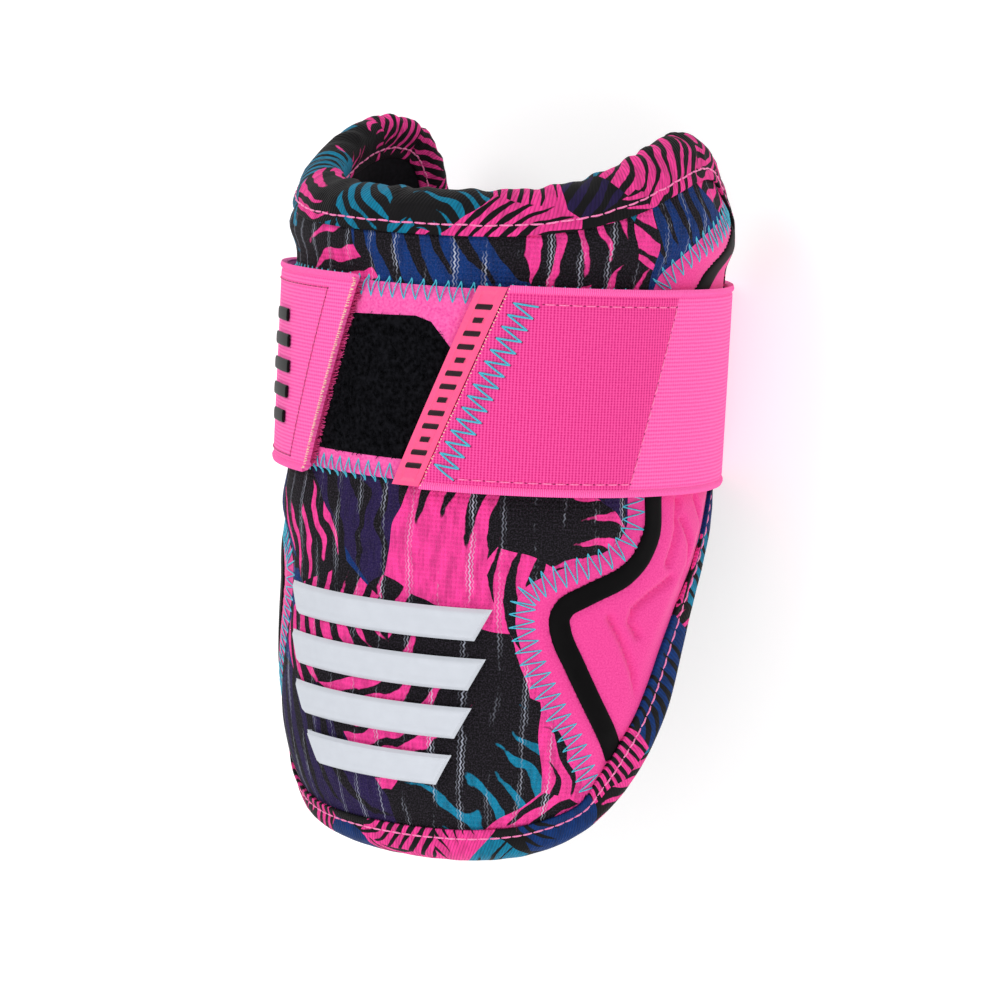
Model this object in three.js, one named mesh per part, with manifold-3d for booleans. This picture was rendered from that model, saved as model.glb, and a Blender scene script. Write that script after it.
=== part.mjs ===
// A batter's elbow guard: a padded wall that wraps the arm, open behind, closed by an elastic strap.
// Each sub-part is drawn flat, as a pattern cutter draws it, by how far it lies around the arm from
// the front line and how high it lies, and is then wrapped on the form of the arm.
// The guard is modelled upright and then laid on its back, on the flat stretch of its strap.
// Lengths are millimetres.
import * as THREE from "three";
import { mergeVertices } from "three/addons/utils/BufferGeometryUtils.js";
import Module from "manifold-3d";

const wasm = await Module();
wasm.setup();

// The guard as a whole
const guardHeight = 184; // from the tongue's tip to the peaks
const guardRadius = 56; // outside of the padded wall round the elbow
const wingReach = 127; // along the outside, from the front line to each rear edge
const rearTuck = 3; // the wings curl in by this much at their rear edges
const wallThickness = 9.5; // padding and lining together
const liningThickness = 1.2;
const clearance = 0.3; // between pieces that lie on each other
const seamClearance = 0.75; // between the wall and the binding sewn round it

// The rolled binding
const bindingWidth = 14; // the most that it reaches in from the edge
const bindingProud = 0.8; // how far it stands out from the wall
const gatherDepth = 0.5; // gathers along the top edge
const gatherPitch = 9;

// The side pads and the line of trim let into each
const padBulge = 1.3;
const trimWidth = 5.6;
const trimDepth = 1.2;
const trimProud = 0.4;

// The strap and what it closes on
const strapWidth = 50.8;
const strapThickness = 1.6;
const strapCornerRadius = 8; // where it turns from a wing to the flat back
const strapCornerLead = 3; // it stays on the form this far past the rear edge
const strapEase = 16; // the run in which it settles from the loop patch to the side pad
const loopPatchThickness = 0.9;
const loopPatchReach = 62; // to each side of the front line
const loopPatchInset = 1.5; // the patch is this much narrower than the strap, at each edge
const hookTapeThickness = 0.8;
const hookTapeLength = 36;
const labelWidth = 6.8;
const labelInset = 0.6; // the label stops this far from the strap's edges

// The raised ribs on the front and the badge on the tab
const ribCount = 4;
const ribHeight = 8;
const ribPitch = 12.3;
const ribReach = 31; // half the length of the uppermost rib
const ribThickness = 1.8;
const ribDraw = 0.7; // a rib's top is this much smaller than its foot, all round
const barCount = 5;
const barHeight = 3.4;
const barPitch = 6.4;
const barReach = 6.5; // half the length of the middle bar
const barThickness = 0.6;
const badgeSetback = 24; // from the tab's end to the middle of the badge

// The wall's outer radius, from the tongue's tip up: shares of the guard's height and radius.
const RADIUS = [
  { up: 0.0, radius: 0.75 },
  { up: 0.022, radius: 0.82 },
  { up: 0.06, radius: 0.882 },
  { up: 0.104, radius: 0.934 },
  { up: 0.165, radius: 0.976 },
  { up: 0.236, radius: 1.0 },
  { up: 0.445, radius: 1.004 },
  { up: 0.515, radius: 0.993 },
  { up: 0.81, radius: 0.995 },
  { up: 0.85, radius: 1.028 },
  { up: 0.88, radius: 1.02 },
  { up: 0.92, radius: 0.972 },
  { up: 0.96, radius: 0.925 },
  { up: 1.0, radius: 0.885 },
];

// Half of the outline, from the front of the top edge, over the peak, down the rear edge and along
// the bottom edge to the tongue's tip: shares of the wing's reach and of the guard's height.
const OUTLINE = [
  { around: 0.0, up: 0.913 },
  { around: 0.123, up: 0.914 },
  { around: 0.246, up: 0.918 },
  { around: 0.354, up: 0.929 },
  { around: 0.462, up: 0.95 },
  { around: 0.562, up: 0.975 },
  { around: 0.654, up: 0.994 },
  { around: 0.738, up: 1.0 },
  { around: 0.823, up: 0.99 },
  { around: 0.892, up: 0.957 },
  { around: 0.946, up: 0.902 },
  { around: 0.985, up: 0.83 },
  { around: 1.0, up: 0.762 },
  { around: 1.0, up: 0.68 },
  { around: 1.0, up: 0.597 },
  { around: 0.973, up: 0.538 },
  { around: 0.9, up: 0.494 },
  { around: 0.82, up: 0.443 },
  { around: 0.758, up: 0.381 },
  { around: 0.716, up: 0.306 },
  { around: 0.68, up: 0.23 },
  { around: 0.633, up: 0.158 },
  { around: 0.57, up: 0.095 },
  { around: 0.484, up: 0.045 },
  { around: 0.367, up: 0.016 },
  { around: 0.246, up: 0.004 },
  { around: 0.123, up: 0.0005 },
  { around: 0.0, up: 0.0 },
];
const REAR_TOP = 12; // the rows between which the rear edge is straight
const REAR_BOTTOM = 14;

// Where the printed front meets a side pad, from below: shares as in the outline.
const SIDE_SEAM = [
  { around: 0.58, up: -0.03 },
  { around: 0.52, up: 0.049 },
  { around: 0.46, up: 0.12 },
  { around: 0.417, up: 0.172 },
  { around: 0.364, up: 0.229 },
  { around: 0.325, up: 0.279 },
  { around: 0.3, up: 0.318 },
  { around: 0.289, up: 0.35 },
  { around: 0.29, up: 0.377 },
  { around: 0.308, up: 0.397 },
  { around: 0.336, up: 0.409 },
  { around: 0.378, up: 0.422 },
  { around: 0.439, up: 0.436 },
  { around: 0.492, up: 0.456 },
  { around: 0.514, up: 0.485 },
  { around: 0.512, up: 0.534 },
  { around: 0.515, up: 0.643 },
  { around: 0.535, up: 0.762 },
  { around: 0.554, up: 0.806 },
  { around: 0.595, up: 0.832 },
  { around: 0.651, up: 0.859 },
  { around: 0.751, up: 0.886 },
  { around: 0.88, up: 0.912 },
  { around: 1.1, up: 0.95 },
];

// The middle of a side pad's line of trim, from below, drawn past the wall's edge at both ends.
const TRIM_LINE = [
  { around: 0.585, up: 0.079 },
  { around: 0.51, up: 0.176 },
  { around: 0.455, up: 0.237 },
  { around: 0.41, up: 0.292 },
  { around: 0.38, up: 0.333 },
  { around: 0.374, up: 0.353 },
  { around: 0.385, up: 0.37 },
  { around: 0.43, up: 0.387 },
  { around: 0.51, up: 0.413 },
  { around: 0.548, up: 0.441 },
  { around: 0.57, up: 0.482 },
  { around: 0.574, up: 0.534 },
  { around: 0.59, up: 0.643 },
  { around: 0.64, up: 0.742 },
  { around: 0.71, up: 0.806 },
  { around: 0.815, up: 0.853 },
  { around: 0.92, up: 0.885 },
  { around: 1.08, up: 0.92 },
];

// How wide the binding is, from the tongue's tip up: shares of the guard's height and of its width.
const BINDING_WIDTH = [
  { up: 0.0, width: 0.714 },
  { up: 0.05, width: 0.73 },
  { up: 0.09, width: 0.92 },
  { up: 0.14, width: 0.985 },
  { up: 0.2, width: 0.96 },
  { up: 0.27, width: 0.9 },
  { up: 0.31, width: 0.83 },
  { up: 0.34, width: 0.77 },
  { up: 0.37, width: 0.66 },
  { up: 0.4, width: 0.57 },
  { up: 0.5, width: 0.57 },
  { up: 0.6, width: 0.6 },
  { up: 0.75, width: 0.7 },
  { up: 0.88, width: 0.785 },
  { up: 1.0, width: 0.785 },
];

// The binding's section, from its seam outside, over the edge, to its seam inside: shares of the
// binding's width, of the wall's thickness and of how far it stands proud.
const BINDING_SECTION = [
  { depth: 1.0, through: 0.0, proud: 0.4 },
  { depth: 0.5, through: 0.0, proud: 1.0 },
  { depth: 0.12, through: 0.12, proud: 0.0 },
  { depth: 0.0, through: 0.5, proud: 0.0 },
  { depth: 0.12, through: 0.88, proud: 0.0 },
  { depth: 0.5, through: 1.0, proud: -1.0 },
  { depth: 1.0, through: 1.0, proud: -0.4 },
];

// The strap's two slanted ends, at its lower and upper edge: shares of the wing's reach.
const LABEL_END = { low: 0.095, high: 0.246 };
const TAB_END = { low: -0.188, high: -0.057 };

// Where things lie up the guard and round it, as shares of its height and of the wing's reach.
const STRAP_MIDDLE = 0.657;
const RIBS_MIDDLE = 0.243;
const PAD_CREST = { around: 0.66, up: 0.38, wide: 0.16, high: 0.11 };
const TUCK_START = 0.63;
const GATHERS_START = { from: 0.9, to: 0.93 };

// Steps of the faceted surfaces
const wallColumns = 36;
const wallRows = 10;
const formColumns = 22;
const cornerColumns = 3;
const patchColumns = 22;
const slantRows = 6;
const stepsPerRow = 2; // between two rows of a table
const gatherStepsPerRow = 4;

// A smooth value between the rows of a table, without overshoot.
function lookUp(table, key, value, at) {
  const last = table.length - 1;
  const x = THREE.MathUtils.clamp(at, table[0][key], table[last][key]);
  const slopeAfter = (i) => (table[i + 1][value] - table[i][value]) / (table[i + 1][key] - table[i][key]);
  const tangent = (i) => {
    const before = slopeAfter(Math.max(i - 1, 0));
    const after = slopeAfter(Math.min(i, last - 1));
    return before * after <= 0 ? 0 : (2 * before * after) / (before + after);
  };
  let row = 0;
  while (row < last - 1 && x > table[row + 1][key]) row++;
  const width = table[row + 1][key] - table[row][key];
  const t = (x - table[row][key]) / width;
  return (
    (2 * t ** 3 - 3 * t ** 2 + 1) * table[row][value] +
    (t ** 3 - 2 * t ** 2 + t) * width * tangent(row) +
    (3 * t ** 2 - 2 * t ** 3) * table[row + 1][value] +
    (t ** 3 - t ** 2) * width * tangent(row + 1)
  );
}

// The height share at a part of the way down a table's rows, so that close rows get close steps.
function upAlong(table, share) {
  const at = share * (table.length - 1);
  const row = Math.min(Math.floor(at), table.length - 2);
  return THREE.MathUtils.lerp(table[row].up, table[row + 1].up, at - row);
}

function radiusAt(around, height) {
  const tuck = THREE.MathUtils.smoothstep(Math.abs(around), TUCK_START * wingReach, wingReach);
  return guardRadius * lookUp(RADIUS, "up", "radius", height / guardHeight) - rearTuck * tuck;
}

// A point of the flat pattern wrapped on the form, lifted off the wall's outer face.
function wrap(around, height, lift) {
  const angle = around / guardRadius;
  const radius = radiusAt(around, height) + lift;
  return new THREE.Vector3(radius * Math.sin(angle), -radius * Math.cos(angle), height);
}

function indexedGeometry(positions, faces) {
  const geometry = new THREE.BufferGeometry();
  geometry.setAttribute("position", new THREE.Float32BufferAttribute(positions, 3));
  geometry.setIndex(faces);
  return geometry;
}

// A closed solid between an inner and an outer sheet, each a grid of points with the same steps.
// A mirrored sheet runs the other way round, so its faces are turned.
function sheetSolid(columns, rows, innerPoint, outerPoint, mirrored = false) {
  const positions = [];
  const faces = [];
  const layer = (columns + 1) * (rows + 1);
  const corner = (column, row, side) => side * layer + row * (columns + 1) + column;
  for (const pointAt of [innerPoint, outerPoint]) {
    for (let row = 0; row <= rows; row++) {
      for (let column = 0; column <= columns; column++) {
        positions.push(...pointAt(column / columns, row / rows).toArray());
      }
    }
  }
  const quad = (a, b, c, d) => {
    if (mirrored) faces.push(a, d, b, b, d, c);
    else faces.push(a, b, d, b, c, d);
  };
  for (let row = 0; row < rows; row++) {
    const above = row + 1;
    for (let column = 0; column < columns; column++) {
      const next = column + 1;
      quad(corner(column, row, 1), corner(next, row, 1), corner(next, above, 1), corner(column, above, 1));
      quad(corner(column, row, 0), corner(column, above, 0), corner(next, above, 0), corner(next, row, 0));
    }
    quad(corner(0, row, 0), corner(0, row, 1), corner(0, above, 1), corner(0, above, 0));
    quad(corner(columns, row, 0), corner(columns, above, 0), corner(columns, above, 1), corner(columns, row, 1));
  }
  for (let column = 0; column < columns; column++) {
    const next = column + 1;
    quad(corner(column, 0, 0), corner(next, 0, 0), corner(next, 0, 1), corner(column, 0, 1));
    quad(corner(column, rows, 0), corner(column, rows, 1), corner(next, rows, 1), corner(next, rows, 0));
  }
  return indexedGeometry(positions, faces);
}

// A closed ring through sections that all have the same number of corners.
function ringSolid(sections) {
  const corners = sections[0].length;
  const positions = sections.flatMap((section) => section.flatMap((point) => point.toArray()));
  const faces = [];
  for (let step = 0; step < sections.length; step++) {
    const here = step * corners;
    const ahead = ((step + 1) % sections.length) * corners;
    for (let i = 0; i < corners; i++) {
      const next = (i + 1) % corners;
      faces.push(here + i, ahead + next, here + next, here + i, ahead + i, ahead + next);
    }
  }
  return indexedGeometry(positions, faces);
}

// Solids for cutting, and back
function solidOf(geometry) {
  const merged = mergeVertices(geometry);
  const vertProperties = merged.attributes.position.array;
  const triVerts = new Uint32Array(merged.index.array);
  return new wasm.Manifold(new wasm.Mesh({ numProp: 3, vertProperties, triVerts }));
}

function geometryOf(solid) {
  const mesh = solid.getMesh();
  return indexedGeometry(mesh.vertProperties, Array.from(mesh.triVerts));
}

// The outline as one closed smooth curve on the flat pattern: x is around, y is height.
const rightHalf = OUTLINE.map((row) => new THREE.Vector3(row.around * wingReach, row.up * guardHeight, 0));
const leftHalf = rightHalf
  .slice(1, -1)
  .reverse()
  .map((point) => new THREE.Vector3(-point.x, point.y, 0));
const outline = new THREE.CatmullRomCurve3([...rightHalf, ...leftHalf], true, "catmullrom");
const outlineRows = rightHalf.length + leftHalf.length;
const tipRow = rightHalf.length - 1;

// A point of the outline, counted in table rows from the front of the top edge, set in by a depth.
function outlinePoint(row, depth) {
  const nudge = 0.02;
  const at = (place) => outline.getPoint(THREE.MathUtils.euclideanModulo(place, outlineRows) / outlineRows);
  const point = at(row);
  const along = at(row + nudge).sub(at(row - nudge)).normalize();
  return new THREE.Vector2(point.x + along.y * depth, point.y - along.x * depth);
}

function bindingWidthAt(height) {
  return bindingWidth * lookUp(BINDING_WIDTH, "up", "width", height / guardHeight);
}

// A point of the wall inside the binding: across runs from the left rear edge to the right one, and
// rise from the bottom edge to the top one, with closer steps near both, where the wall bends more.
function wallPoint(across, rise) {
  const side = across * 2 - 1;
  const share = Math.abs(side);
  const insetPoint = (row) => outlinePoint(row, bindingWidthAt(outlinePoint(row, 0).y) + seamClearance);
  const top = insetPoint(share * REAR_TOP);
  const bottom = insetPoint(THREE.MathUtils.lerp(tipRow, REAR_BOTTOM, share));
  const flat = bottom.lerp(top, (1 - Math.cos(rise * Math.PI)) / 2);
  return new THREE.Vector2(flat.x * (side < 0 ? -1 : 1), flat.y);
}

// A layer of the wall, over its whole width or from the front line to one rear edge.
function wallLayer(side, innerLift, outerLift) {
  const from = side > 0 ? 0.5 : 0;
  const to = side < 0 ? 0.5 : 1;
  const columns = wallColumns * (to - from);
  const pointAt = (liftAt) => (u, v) => {
    const flat = wallPoint(THREE.MathUtils.lerp(from, to, u), v);
    return wrap(flat.x, flat.y, liftAt(flat));
  };
  return sheetSolid(columns, wallRows, pointAt(innerLift), pointAt(outerLift));
}

const level = (lift) => () => lift;
const foamInside = -wallThickness + liningThickness + clearance;
const throughWall = wallThickness * 2; // farther than the wall reaches, inside and out

// The zone behind a side seam, to part the side pad from the front with a gap between them.
function sideZone(side, shift) {
  const behindRearEdge = wingReach * 1.2;
  const steps = SIDE_SEAM.length - 1;
  const pointAt = (lift) => (u, v) => {
    const up = upAlong(SIDE_SEAM, v);
    const edge = lookUp(SIDE_SEAM, "up", "around", up) * wingReach + shift;
    const around = THREE.MathUtils.lerp(edge, behindRearEdge, u);
    return wrap(around * side, up * guardHeight, lift);
  };
  return solidOf(sheetSolid(wallColumns / 2, steps, pointAt(-throughWall), pointAt(throughWall), side < 0));
}

// A strip that follows the trim line of one side pad, of one width square to its run.
function trimStrip(side, width, innerLift, outerLift) {
  const bottom = TRIM_LINE[0].up;
  const top = TRIM_LINE[TRIM_LINE.length - 1].up;
  const nudge = 0.005;
  const middleAt = (up) => lookUp(TRIM_LINE, "up", "around", up) * wingReach;
  const pointAt = (lift) => (u, v) => {
    const up = upAlong(TRIM_LINE, v);
    const low = Math.max(up - nudge, bottom);
    const high = Math.min(up + nudge, top);
    const lean = (middleAt(high) - middleAt(low)) / ((high - low) * guardHeight);
    const around = middleAt(up) + (u - 0.5) * width * Math.hypot(1, lean);
    return wrap(around * side, up * guardHeight, lift);
  };
  const steps = (TRIM_LINE.length - 1) * stepsPerRow;
  return sheetSolid(2, steps, pointAt(innerLift), pointAt(outerLift), side < 0);
}

// The side pads swell a little behind their trim.
function padLift(flat) {
  const across = (Math.abs(flat.x) / wingReach - PAD_CREST.around) / PAD_CREST.wide;
  const upward = (flat.y / guardHeight - PAD_CREST.up) / PAD_CREST.high;
  return padBulge * Math.exp(-(across ** 2) - upward ** 2);
}

// The strap's run seen from above, from the front line to the right, round the back and on to the
// front line again: on the form, round a corner, along the flat back, and the same mirrored.
const strapMiddle = STRAP_MIDDLE * guardHeight;
const strapBottom = strapMiddle - strapWidth / 2;
const strapFormLength = wingReach + strapCornerLead;
const strapFormRadius = radiusAt(0, strapMiddle);
const strapCornerAngle = strapFormLength / guardRadius;
const strapCornerLength = strapCornerRadius * (Math.PI - strapCornerAngle);
const directionAt = (angle) => new THREE.Vector2(Math.sin(angle), -Math.cos(angle));
const strapCornerCentre = directionAt(strapCornerAngle).multiplyScalar(
  strapFormRadius - rearTuck - strapCornerRadius,
);
const strapHalfLoop = strapFormLength + strapCornerLength + strapCornerCentre.x;

function strapPoint(along, height, lift) {
  const mirrored = along > strapHalfLoop;
  const run = mirrored ? 2 * strapHalfLoop - along : along;
  let point;
  if (run <= strapFormLength) {
    point = directionAt(run / guardRadius).multiplyScalar(radiusAt(run, strapMiddle) + lift);
  } else if (run <= strapFormLength + strapCornerLength) {
    const angle = strapCornerAngle + (run - strapFormLength) / strapCornerRadius;
    point = directionAt(angle).multiplyScalar(strapCornerRadius + lift).add(strapCornerCentre);
  } else {
    point = new THREE.Vector2(strapHalfLoop - run, strapCornerCentre.y + strapCornerRadius + lift);
  }
  return new THREE.Vector3(mirrored ? -point.x : point.x, point.y, height);
}

// What the strap lies on: the loop patch in front, with the hook tape between them under its tab,
// and behind that the side pads and the binding of the rear edges.
const liftOverPatch = clearance + loopPatchThickness + clearance;
const liftOverHook = liftOverPatch + hookTapeThickness + clearance;
const liftOverWing = Math.max(bindingProud, trimProud) + clearance;

function strapLift(along) {
  const onTab = along > strapHalfLoop;
  const fromFront = onTab ? 2 * strapHalfLoop - along : along;
  const frontLift = onTab ? liftOverHook : liftOverPatch;
  const settled = THREE.MathUtils.smoothstep(fromFront, loopPatchReach, loopPatchReach + strapEase);
  return THREE.MathUtils.lerp(frontLift, liftOverWing, settled);
}

function slantedEnd(end, share) {
  return THREE.MathUtils.lerp(end.low, end.high, share) * wingReach;
}

// Sub-parts
function buildFrontPad() {
  const wall = solidOf(wallLayer(0, level(foamInside), level(0)));
  const front = wall.subtract(sideZone(1, -clearance / 2)).subtract(sideZone(-1, -clearance / 2));
  return geometryOf(front);
}

function buildSidePad(side) {
  const wall = solidOf(wallLayer(side, level(foamInside), padLift));
  const grooveFloor = -trimDepth - clearance;
  const groove = solidOf(trimStrip(side, trimWidth + 2 * clearance, grooveFloor, throughWall));
  return geometryOf(wall.intersect(sideZone(side, clearance / 2)).subtract(groove));
}

function buildSideTrim(side) {
  const line = solidOf(trimStrip(side, trimWidth, -trimDepth, trimProud));
  const reach = solidOf(wallLayer(side, level(-throughWall), level(throughWall)));
  return geometryOf(line.intersect(reach));
}

function buildLining() {
  return wallLayer(0, level(-wallThickness), level(-wallThickness + liningThickness));
}

function buildEdgeBinding() {
  const rows = [];
  for (let row = 0; row < outlineRows; row++) {
    const gathered = row < REAR_TOP || row >= outlineRows - REAR_TOP;
    const steps = gathered ? gatherStepsPerRow : stepsPerRow;
    for (let step = 0; step < steps; step++) rows.push(row + step / steps);
  }
  let travelled = 0;
  let previous = outlinePoint(0, 0);
  const sections = rows.map((row) => {
    const edge = outlinePoint(row, 0);
    travelled += edge.distanceTo(previous);
    previous = edge;
    const width = bindingWidthAt(edge.y);
    const gathered = THREE.MathUtils.smoothstep(edge.y / guardHeight, GATHERS_START.from, GATHERS_START.to);
    const gather = gathered * gatherDepth * Math.sin((travelled / gatherPitch) * 2 * Math.PI);
    return BINDING_SECTION.map(({ depth, through, proud }) => {
      const flat = outlinePoint(row, depth * width + (1 - depth) * gather);
      return wrap(flat.x, flat.y, -through * wallThickness + proud * bindingProud);
    });
  });
  return ringSolid(sections);
}

// What lies past a slanted end of the strap, to cut the end with.
function pastEnd(end, origin, direction) {
  const overshoot = 0.1; // past the strap's edges, as a share of its width
  const pointAt = (lift) => (u, v) => {
    const share = THREE.MathUtils.lerp(-overshoot, 1 + overshoot, v);
    const along = origin + slantedEnd(end, share) + direction * u * hookTapeLength;
    return strapPoint(along, strapBottom + share * strapWidth, lift);
  };
  const outside = liftOverHook + strapThickness * 2;
  return solidOf(sheetSolid(slantRows, slantRows, pointAt(0), pointAt(outside), direction < 0));
}

// Where the strap's facets meet along its run: the flat back is one facet, from corner to corner.
function strapStops(start, end) {
  const stretch = (from, to, steps) => {
    return Array.from({ length: steps + 1 }, (_, step) => THREE.MathUtils.lerp(from, to, step / steps));
  };
  const cornerEnd = strapFormLength + strapCornerLength;
  const loop = 2 * strapHalfLoop;
  return [
    ...stretch(start, strapFormLength, formColumns),
    ...stretch(strapFormLength, cornerEnd, cornerColumns).slice(1),
    ...stretch(loop - cornerEnd, loop - strapFormLength, cornerColumns),
    ...stretch(loop - strapFormLength, end, formColumns).slice(1),
  ];
}

function buildStrap() {
  const start = Math.min(LABEL_END.low, LABEL_END.high) * wingReach;
  const end = 2 * strapHalfLoop + Math.max(TAB_END.low, TAB_END.high) * wingReach;
  const stops = strapStops(start, end);
  const columns = stops.length - 1;
  const pointAt = (offset) => (u, v) => {
    const along = stops[Math.round(u * columns)];
    return strapPoint(along, strapBottom + v * strapWidth, strapLift(along) + offset);
  };
  const band = solidOf(sheetSolid(columns, 1, pointAt(0), pointAt(strapThickness)));
  return geometryOf(band.subtract(pastEnd(LABEL_END, 0, -1)).subtract(pastEnd(TAB_END, 2 * strapHalfLoop, 1)));
}

function buildLoopPatch() {
  const pointAt = (lift) => (u, v) => {
    const height = THREE.MathUtils.lerp(loopPatchInset, strapWidth - loopPatchInset, v);
    return wrap((u * 2 - 1) * loopPatchReach, strapBottom + height, clearance + lift);
  };
  return sheetSolid(patchColumns, 1, pointAt(0), pointAt(loopPatchThickness));
}

// A piece between the strap's slanted end and the loop patch or beside it, slanted as the end is.
function slantedPiece(end, nearEdge, farEdge, inset, thickness) {
  const pointAt = (lift) => (u, v) => {
    const height = THREE.MathUtils.lerp(inset, strapWidth - inset, v);
    const edge = slantedEnd(end, height / strapWidth);
    const around = edge + THREE.MathUtils.lerp(nearEdge, farEdge, u);
    return wrap(around, strapBottom + height, liftOverPatch + lift);
  };
  return sheetSolid(slantRows, slantRows, pointAt(0), pointAt(thickness));
}

function buildHookTape() {
  return slantedPiece(TAB_END, -hookTapeLength, -clearance, loopPatchInset, hookTapeThickness);
}

function buildStrapLabel() {
  return slantedPiece(LABEL_END, -labelWidth - clearance, -clearance, labelInset, strapThickness);
}

// A raised rib with slanted ends, shorter than the one above it.
function buildFrontRib(index) {
  const middle = RIBS_MIDDLE * guardHeight + ((ribCount - 1) / 2 - index) * ribPitch;
  const reach = ribReach * Math.cos(index / ribCount);
  const pointAt = (lift, draw) => (u, v) => {
    const half = reach - draw - (1 - v) * (ribHeight / 2);
    const height = middle + (v - 0.5) * (ribHeight - 2 * draw);
    return wrap((u * 2 - 1) * half, height, clearance + lift);
  };
  return sheetSolid(slantRows * 2, 1, pointAt(0, 0), pointAt(ribThickness, ribDraw));
}

// A bar of the badge on the tab, shorter the farther it is from the middle one.
function buildBadgeBar(index) {
  const fromMiddle = index - (barCount - 1) / 2;
  const middle = strapMiddle + fromMiddle * barPitch;
  const centre = 2 * strapHalfLoop + slantedEnd(TAB_END, 0.5) - badgeSetback;
  const reach = barReach * Math.cos((fromMiddle * 2) / barCount);
  const pointAt = (offset) => (u, v) => {
    const along = centre + (u * 2 - 1) * reach;
    const height = middle + (v - 0.5) * barHeight;
    return strapPoint(along, height, strapLift(along) + strapThickness + clearance + offset);
  };
  return sheetSolid(4, 1, pointAt(0), pointAt(barThickness));
}

// Materials
const finish = (color, roughness) => new THREE.MeshStandardMaterial({ color, roughness, metalness: 0 });
const printedKnit = finish(0x3a2440, 0.85);
const pinkNeoprene = finish(0xf04fa8, 0.8);
const pinkElastic = finish(0xf5489f, 0.75);
const printedTwill = finish(0x241a2e, 0.8);
const blackKnit = finish(0x15151a, 0.9);
const blackRubber = finish(0x0e0e10, 0.35);
const loopPile = finish(0x101214, 1);
const pinkRubber = finish(0xff5f9e, 0.5);
const hookNylon = finish(0xc8206e, 0.6);
const whiteRubber = finish(0xe6e8ee, 0.45);

const upright = new THREE.Group();

function addPiece(name, geometry, material) {
  const mesh = new THREE.Mesh(geometry, material);
  mesh.name = name;
  upright.add(mesh);
}

addPiece("front_pad", buildFrontPad(), printedKnit);
addPiece("lining", buildLining(), blackKnit);
addPiece("edge_binding", buildEdgeBinding(), printedTwill);
for (const [word, side] of [["right", 1], ["left", -1]]) {
  addPiece(`side_pad_${word}`, buildSidePad(side), pinkNeoprene);
  addPiece(`side_trim_${word}`, buildSideTrim(side), blackRubber);
}
addPiece("loop_patch", buildLoopPatch(), loopPile);
addPiece("strap", buildStrap(), pinkElastic);
addPiece("hook_tape", buildHookTape(), hookNylon);
addPiece("strap_label", buildStrapLabel(), pinkRubber);
for (let i = 0; i < ribCount; i++) addPiece(`front_rib_${i + 1}`, buildFrontRib(i), whiteRubber);
for (let i = 0; i < barCount; i++) addPiece(`badge_bar_${i + 1}`, buildBadgeBar(i), blackRubber);

// Laid on its back: the front faces up, the peaks point along +Y, the strap's flat back is the foot.
upright.rotation.x = -Math.PI / 2;
const elbowGuard = new THREE.Group();
elbowGuard.add(upright);
elbowGuard.updateMatrixWorld(true);
const box = new THREE.Box3().setFromObject(elbowGuard, true);
const centre = box.getCenter(new THREE.Vector3());
upright.position.set(-centre.x, -centre.y, -box.min.z);

export default elbowGuard;
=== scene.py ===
# %% [markdown]
# # A batter's elbow guard in Blender
# The real guard is cut from flat cloth and foam, sewn, and wrapped round the arm.
# This lesson goes the same way: each piece is drawn flat, as a pattern cutter draws it,
# by how far it lies around the arm and how high up it lies, and is then wrapped on one form.
# The frame comes first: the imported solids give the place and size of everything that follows.

# %% Load the frame
import math

import bmesh
import bpy
import numpy as np
from mathutils import Matrix, Vector


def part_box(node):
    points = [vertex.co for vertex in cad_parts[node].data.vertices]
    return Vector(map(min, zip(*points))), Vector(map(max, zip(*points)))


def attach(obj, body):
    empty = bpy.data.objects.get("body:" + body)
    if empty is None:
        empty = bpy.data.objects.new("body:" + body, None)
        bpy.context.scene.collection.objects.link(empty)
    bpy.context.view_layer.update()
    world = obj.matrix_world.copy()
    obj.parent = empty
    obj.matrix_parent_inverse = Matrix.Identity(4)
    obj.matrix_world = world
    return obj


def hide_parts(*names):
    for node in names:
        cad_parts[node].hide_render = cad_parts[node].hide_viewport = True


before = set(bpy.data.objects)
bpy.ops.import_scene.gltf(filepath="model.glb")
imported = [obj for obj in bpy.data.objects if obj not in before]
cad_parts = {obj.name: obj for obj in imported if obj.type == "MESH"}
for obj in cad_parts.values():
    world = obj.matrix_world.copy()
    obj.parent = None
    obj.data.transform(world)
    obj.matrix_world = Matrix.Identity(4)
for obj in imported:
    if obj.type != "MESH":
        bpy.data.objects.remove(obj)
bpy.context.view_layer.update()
print("nodes:", len(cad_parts))

# %% [markdown]
# ## The pattern cutter's numbers
# Lengths are millimetres. "Around" is measured along the outside of the guard from its front
# line, and "up" from the tip of its tongue. The tables are shares of the wing's reach and of
# the guard's height, and they are the same as the solids' own.

# %% Lengths
GUARD_HEIGHT = 184.0
GUARD_RADIUS = 56.0
WING_REACH = 127.0
REAR_TUCK = 3.0
TUCK_START = 0.63
WALL_THICKNESS = 9.5
LINING_THICKNESS = 1.2
CLEARANCE = 0.3
BINDING_WIDTH = 14.0
BINDING_PROUD = 0.8
PAD_BULGE = 1.3
TRIM_WIDTH = 5.6
TRIM_DEPTH = 1.2
TRIM_PROUD = 0.4
STRAP_WIDTH = 50.8
STRAP_THICKNESS = 1.6
STRAP_CORNER = 8.0
STRAP_LEAD = 3.0
STRAP_EASE = 16.0
PATCH_THICKNESS = 0.9
PATCH_REACH = 62.0
PATCH_INSET = 1.5
HOOK_THICKNESS = 0.8
HOOK_LENGTH = 36.0
LABEL_WIDTH = 6.8
RIB_COUNT = 4
RIB_HEIGHT = 8.0
RIB_PITCH = 12.3
RIB_REACH = 31.0
RIB_THICKNESS = 1.8
BAR_COUNT = 5
BAR_HEIGHT = 3.4
BAR_PITCH = 6.4
BAR_REACH = 6.5
BAR_THICKNESS = 0.6
BADGE_SETBACK = 24.0
STRAP_MIDDLE = 0.657 * GUARD_HEIGHT
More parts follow.
